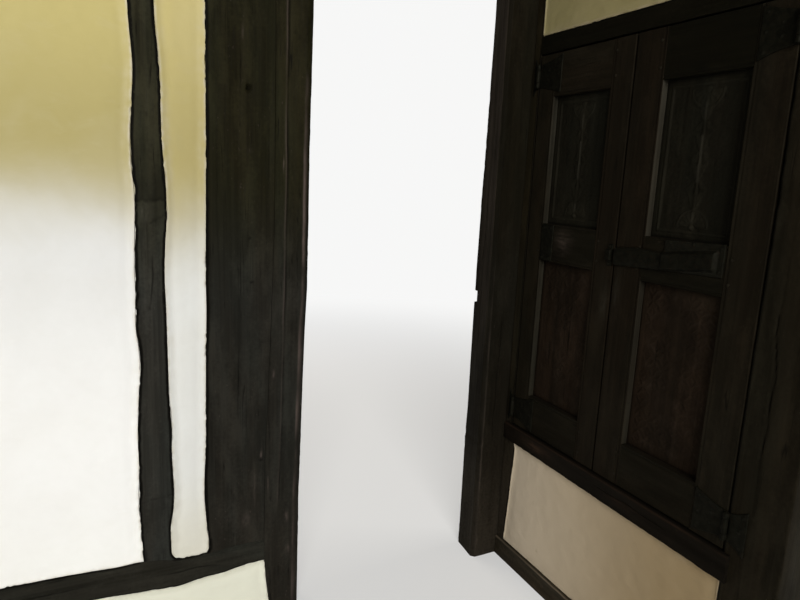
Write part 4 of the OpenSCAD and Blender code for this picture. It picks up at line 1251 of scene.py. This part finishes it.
def hingeHalves(leaf, away, seed):
    # away is the direction from the pin to the leaf along the wall
    c, pinY = ironwork, pinLines[leaf]
    leafWidth, postWidth = c["plates"][leaf]
    third = c["height"] / 3
    ofLeaf, ofPost = [], []
    for k, foot in enumerate(hingeFeet):
        low, top = foot + third * (1 - c["outer"]), foot + third * (2 + c["outer"])
        ofLeaf.append(flaredPlate(pinY, away, foot, leafWidth, leafNails, seed + k))
        ofPost.append(flaredPlate(pinY, -away, foot, postWidth, postNails[leaf], seed + 5 + k))
        leafKnuckles = [(foot + third, foot + 2 * third)]
        postKnuckles = [(low, foot + third - c["gap"]), (foot + 2 * third + c["gap"], top)]
        for solids, knuckles, side, bore in ((ofLeaf, leafKnuckles, away, c["pin"] + c["clear"]),
                                             (ofPost, postKnuckles, -away, 0.0)):
            for z0, z1 in knuckles:
                web = sorted((pinY + side * 0.0005, pinY + side * (c["knuckle"] + 0.002)))
                solids.append(barrel(pinY, z0, z1, c["knuckle"], bore))
                solids.append(forgedPlate(web, z0, z1, c["thick"], seed=seed + 9))
        ofPost.append(barrel(pinY, low + 0.004, top - 0.004, c["pin"]))
        ofPost.append(barrel(pinY, low - 0.0022, low, c["pin"] + 0.0016, eased=0.0012))
        ofPost.append(barrel(pinY, top, top + 0.0026, c["pin"] + 0.0020, eased=0.0016))
    addIron(leaf + "LeafHinges", leaf + "_leaf_hinges", leaf + "_leaf", ofLeaf)
    addIron(leaf + "PostHinges", leaf + "_post_hinges", "wall", ofPost)


hingeHalves("near", -1, 101)
hingeHalves("far", 1, 121)

plateLow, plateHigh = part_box("near_rail_plate")
keeperLow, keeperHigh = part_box("bolt_keeper")
boltPlateLow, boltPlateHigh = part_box("bolt_plate")
boltLow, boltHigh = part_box("bolt_bar")
inset = 0.011
railNails = [(y, z) for y in (plateLow.y + inset, plateHigh.y - inset)
             for z in (plateLow.z + inset, plateHigh.z - inset)]
addIron("nearRailPlate", "near_rail_plate", "near_leaf",
        [forgedPlate((plateLow.y, plateHigh.y), plateLow.z, plateHigh.z, ironwork["thick"], railNails, 141)])


def stapleHeight(y, z):
    # a strap over the bolt: thin feet above and below it, drawn up between them
    low, high = keeperLow.z + 0.014, keeperHigh.z - 0.012
    return 0.0035 + (-keeperLow.x - 0.0035) * ease((z - low) / 0.006) * ease((high - z) / 0.006)


keeperMiddle = (keeperLow.y + keeperHigh.y) / 2
keeperNails = [(keeperMiddle, keeperLow.z + 0.0065), (keeperMiddle, keeperHigh.z - 0.0058)]
addIron("boltKeeper", "bolt_keeper", "near_leaf",
        [forgedPlate((keeperLow.y, keeperHigh.y), keeperLow.z, keeperHigh.z, 0.0035, keeperNails, 143,
                     spacing=0.0012, shape=stapleHeight, nail=0.0038)])

plateEnds = [boltPlateLow.y, boltPlateHigh.y]


def housingHeight(y, z):
    # a flat plate with a raised round-shouldered housing for the bolt along its middle
    middle = np.interp(y, plateEnds, [1.328, 1.304])
    shoulder = ease((0.031 - np.abs(z - middle)) / 0.012) * ease((y - plateEnds[0] - 0.016) / 0.010)
    return 0.0045 + (-boltPlateLow.x - 0.0045) * shoulder


boltNails = [(plateEnds[0] + 0.010, 1.300), (plateEnds[0] + 0.010, 1.356), (plateEnds[1] - 0.020, 1.359),
             (plateEnds[0] + 0.095, 1.363)]
addIron("boltPlate", "bolt_plate", "far_leaf",
        [forgedPlate(plateEnds, (plateEnds, [1.285, 1.278]), (plateEnds, [1.372, 1.366]), 0.0045, boltNails,
                     145, shape=housingHeight)], rustyIron)

boltBar = {"low": ([-0.666, -0.4835], [1.278, 1.268]),
           "high": ([-0.666, -0.560, -0.4835], [1.326, 1.332, 1.322])}


def roundedBar(y, z):
    # full thickness along the middle, falling to half of it at the upper and lower edges
    low, high = lineAt(boltBar["low"], y), lineAt(boltBar["high"], y)
    side = (z - (low + high) / 2) / ((high - low) / 2)
    return -boltLow.x * (0.50 + 0.50 * np.sqrt(np.clip(1 - 0.95 * side ** 2, 0, 1)))


addIron("boltBar", "bolt_bar", "far_leaf",
        [forgedPlate((boltLow.y, boltHigh.y), boltBar["low"], boltBar["high"], 0.012, seed=147,
                     shape=roundedBar)], rustyIron)
print("ironwork made")


# Oak pegs through the joints of the leaves

pegs = {"radius": 0.0042, "proud": 0.0012, "fromJoint": 0.016, "fromEnd": 0.034, "sides": 20}


def pegHead(y, z, turn):
    # a nearly round, slightly domed head: radius * (1 + a little of a five-sided wave)
    sides, proud = pegs["sides"], pegs["proud"]
    a = np.linspace(0, 2 * math.pi, sides, endpoint=False)
    reach = pegs["radius"] * (1 + 0.05 * np.cos(5 * a + turn))
    steps = [(1.0, -0.002), (1.0, proud * 0.55), (0.86, proud * 0.9), (0.45, proud)]
    rings = np.stack([np.stack([np.full(sides, -out), y - share * reach * np.cos(a),
                                z + share * reach * np.sin(a)], -1) for share, out in steps])
    return rings.reshape(-1, 3), ringQuads(len(steps), sides), ringCaps(len(steps), sides)


for leaf, values in leaves.items():
    heads = []
    for label, side, low, high in values["stiles"]:
        pegLine = low + pegs["fromJoint"] if side > 0 else high - pegs["fromJoint"]
        for railLow, railHigh in railHeights.values():
            for height in (railLow + pegs["fromEnd"], railHigh - pegs["fromEnd"]):
                heads.append(pegHead(pegLine + 0.002 * math.sin(40 * height), height, 9 * height))
    points, quads, caps = mergedSolids(heads)
    mesh = buildMesh(leaf + "Pegs", points, quads, caps, False, 45)
    storeNumbers(mesh, "grain", points[:, [1, 2, 0]])
    for label, value in (("crack", 0.0), ("rim", 0.0), ("worn", 0.10)):
        storeNumbers(mesh, label, np.full(len(points), value))
    addPiece(leaf + "Pegs", mesh, leaf + "_leaf", [], leafOak)
print("pegs made")


# Boards of the cupboard's inside

plank = {"slot": "board", "material": boardOak, "corner": [(0.0018, 0.0018)] * 4, "nCorner": 3,
         "spacing": 0.012, "backSpacing": 0.012, "step": 0.03, "relief": (0.0008, 0.0005, 0.0003),
         "wobble": (0.0002, 0.0003)}


def planksAcross(prefix, node, axes, count, seed, lap=0.0005):
    # boards side by side that fill the CAD node's box, and lap a little where they meet so that no light
    # comes through
    along, across, depth = axes
    start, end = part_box(node)
    width = (end[across] - start[across]) / count
    for k in range(count):
        low = start[across] + k * width - lap * (k > 0)
        high = start[across] + (k + 1) * width + lap * (k < count - 1)
        upright(prefix + str(k + 1), node, low, high, (start[along], end[along]), axes=axes,
                front=start[depth], back=end[depth], seed=seed + k, **plank)


planksAcross("backBoard", "cupboard_back", returnAxes, 4, 81)
planksAcross("topBoard", "cupboard_top", levelAxes, 2, 86)
planksAcross("baseBoard", "cupboard_base", levelAxes, 2, 89)
planksAcross("nearSideBoard", "cupboard_side_near", wallAxes, 2, 92)
planksAcross("farSideBoard", "cupboard_side_far", wallAxes, 2, 95)
print("cupboard boards made")


# Camera, as the photograph was taken

photoView = {"place": (-1.451, -1.921, 1.500), "yaw": 26.42, "pitch": 10.88, "roll": -2.45, "lens": 28.206}


def placeCamera(view):
    # yaw turns from +Y towards +X, pitch looks down, and roll turns about the line of sight
    yaw, pitch, roll = (math.radians(view[k]) for k in ("yaw", "pitch", "roll"))
    forward = Vector((math.sin(yaw) * math.cos(pitch), math.cos(yaw) * math.cos(pitch), -math.sin(pitch)))
    level = Vector((math.cos(yaw), -math.sin(yaw), 0))
    down = forward.cross(level)
    right = level * math.cos(roll) + down * math.sin(roll)
    up = -(down * math.cos(roll) - level * math.sin(roll))
    camera = bpy.data.objects.new("camera", bpy.data.cameras.new("camera"))
    bpy.context.scene.collection.objects.link(camera)
    turn = Matrix((right, up, -forward)).transposed().to_4x4()
    camera.matrix_world = Matrix.Translation(view["place"]) @ turn
    camera.data.lens = view["lens"]
    camera.data.sensor_width = 36
    camera.data.sensor_fit = "HORIZONTAL"
    camera.data.clip_start, camera.data.clip_end = 0.02, 100
    bpy.context.scene.camera = camera


placeCamera(photoView)


# Light, background and floor

studio = {"key": {"place": (-3.2, -8.0, 4.2), "aim": (-0.9, 0.0, 1.0), "size": (4.0, 3.4), "power": 660,
                  "colour": (1.0, 0.99, 0.965), "glossy": True},
          "fill": {"place": (-1.4, 3.8, 2.3), "aim": (-0.8, 0.1, 1.1), "size": (3.0, 2.4), "power": 62,
                   "colour": (1.0, 0.93, 0.84), "glossy": False},
          "side": {"place": (5.2, -0.9, 3.0), "aim": (0.1, -0.5, 1.1), "size": (3.0, 2.4), "power": 150,
                   "colour": (1.0, 0.96, 0.90), "glossy": False},
          "ambient": 0.12, "gloss": 0.10, "backdrop": (0.93, 0.93, 0.925), "floor": (0.80, 0.80, 0.79),
          "floorGlow": 0.40, "floorCentre": (-0.8, -0.3)}


def areaLight(name, settings):
    # a rectangle of light that faces its aim
    data = bpy.data.lights.new(name, "AREA")
    data.shape = "RECTANGLE"
    data.size, data.size_y = settings["size"]
    data.energy = settings["power"]
    data.color = settings["colour"]
    lamp = bpy.data.objects.new(name, data)
    lamp.visible_glossy = settings["glossy"]
    bpy.context.scene.collection.objects.link(lamp)
    direction = Vector(settings["aim"]) - Vector(settings["place"])
    turn = direction.to_track_quat("-Z", "Y").to_matrix().to_4x4()
    lamp.matrix_world = Matrix.Translation(settings["place"]) @ turn


def makeWorld():
    # pale to the camera and through glass, dimmer as light on the object
    world = bpy.data.worlds.new("studio")
    world.use_nodes = True
    n = Nodes(world.node_tree)
    n.tree.nodes.clear()
    rays = n.add("LightPath").outputs
    lit = {0: rays["Is Glossy Ray"], 2: studio["ambient"], 3: studio["gloss"]}
    strength = n.add("Mix", lit, data_type="FLOAT").outputs[0]
    seen = n.maths("MAXIMUM", rays["Is Camera Ray"], rays["Is Transmission Ray"])
    strength = n.add("Mix", {0: seen, 2: strength, 3: 1.0}, data_type="FLOAT").outputs[0]
    background = n.add("Background", {"Color": studio["backdrop"], "Strength": strength})
    n.add("OutputWorld", {"Surface": background.outputs[0]})
    bpy.context.scene.world = world


def makeFloor():
    # a wide pale sheet that fades into the background with distance from its middle
    (x, y), size = studio["floorCentre"], 40.0
    mesh = bpy.data.meshes.new("floor")
    corners = [(x + a * size, y + b * size, 0) for a, b in ((-1, -1), (1, -1), (1, 1), (-1, 1))]
    mesh.from_pydata(corners, [], [(0, 1, 2, 3)])
    floor = bpy.data.objects.new("floor", mesh)
    bpy.context.scene.collection.objects.link(floor)
    material = bpy.data.materials.new("paleFloor")
    material.use_nodes = True
    n = Nodes(material.node_tree)
    n.tree.nodes.clear()
    place = n.add("TexCoord").outputs["Object"]
    away = n.add("VectorMath", {0: place, 1: (x, y, 0)}, operation="DISTANCE").outputs["Value"]
    far = n.remap(away, 1.8, 6.2, studio["floorGlow"], 1.0)
    matte = n.add("BsdfDiffuse", {"Color": studio["floor"]})
    glow = n.add("Emission", {"Color": studio["backdrop"], "Strength": 1.0})
    fade = n.times(far, n.add("LightPath").outputs["Is Camera Ray"])
    blend = n.add("MixShader", {0: fade, 1: matte.outputs[0], 2: glow.outputs[0]})
    n.add("OutputMaterial", {"Surface": blend.outputs[0]})
    mesh.materials.append(material)


for name in ("key", "fill", "side"):
    areaLight(name, studio[name])
makeWorld()
makeFloor()
bpy.context.scene.view_settings.view_transform = "Standard"

print("scene ready")
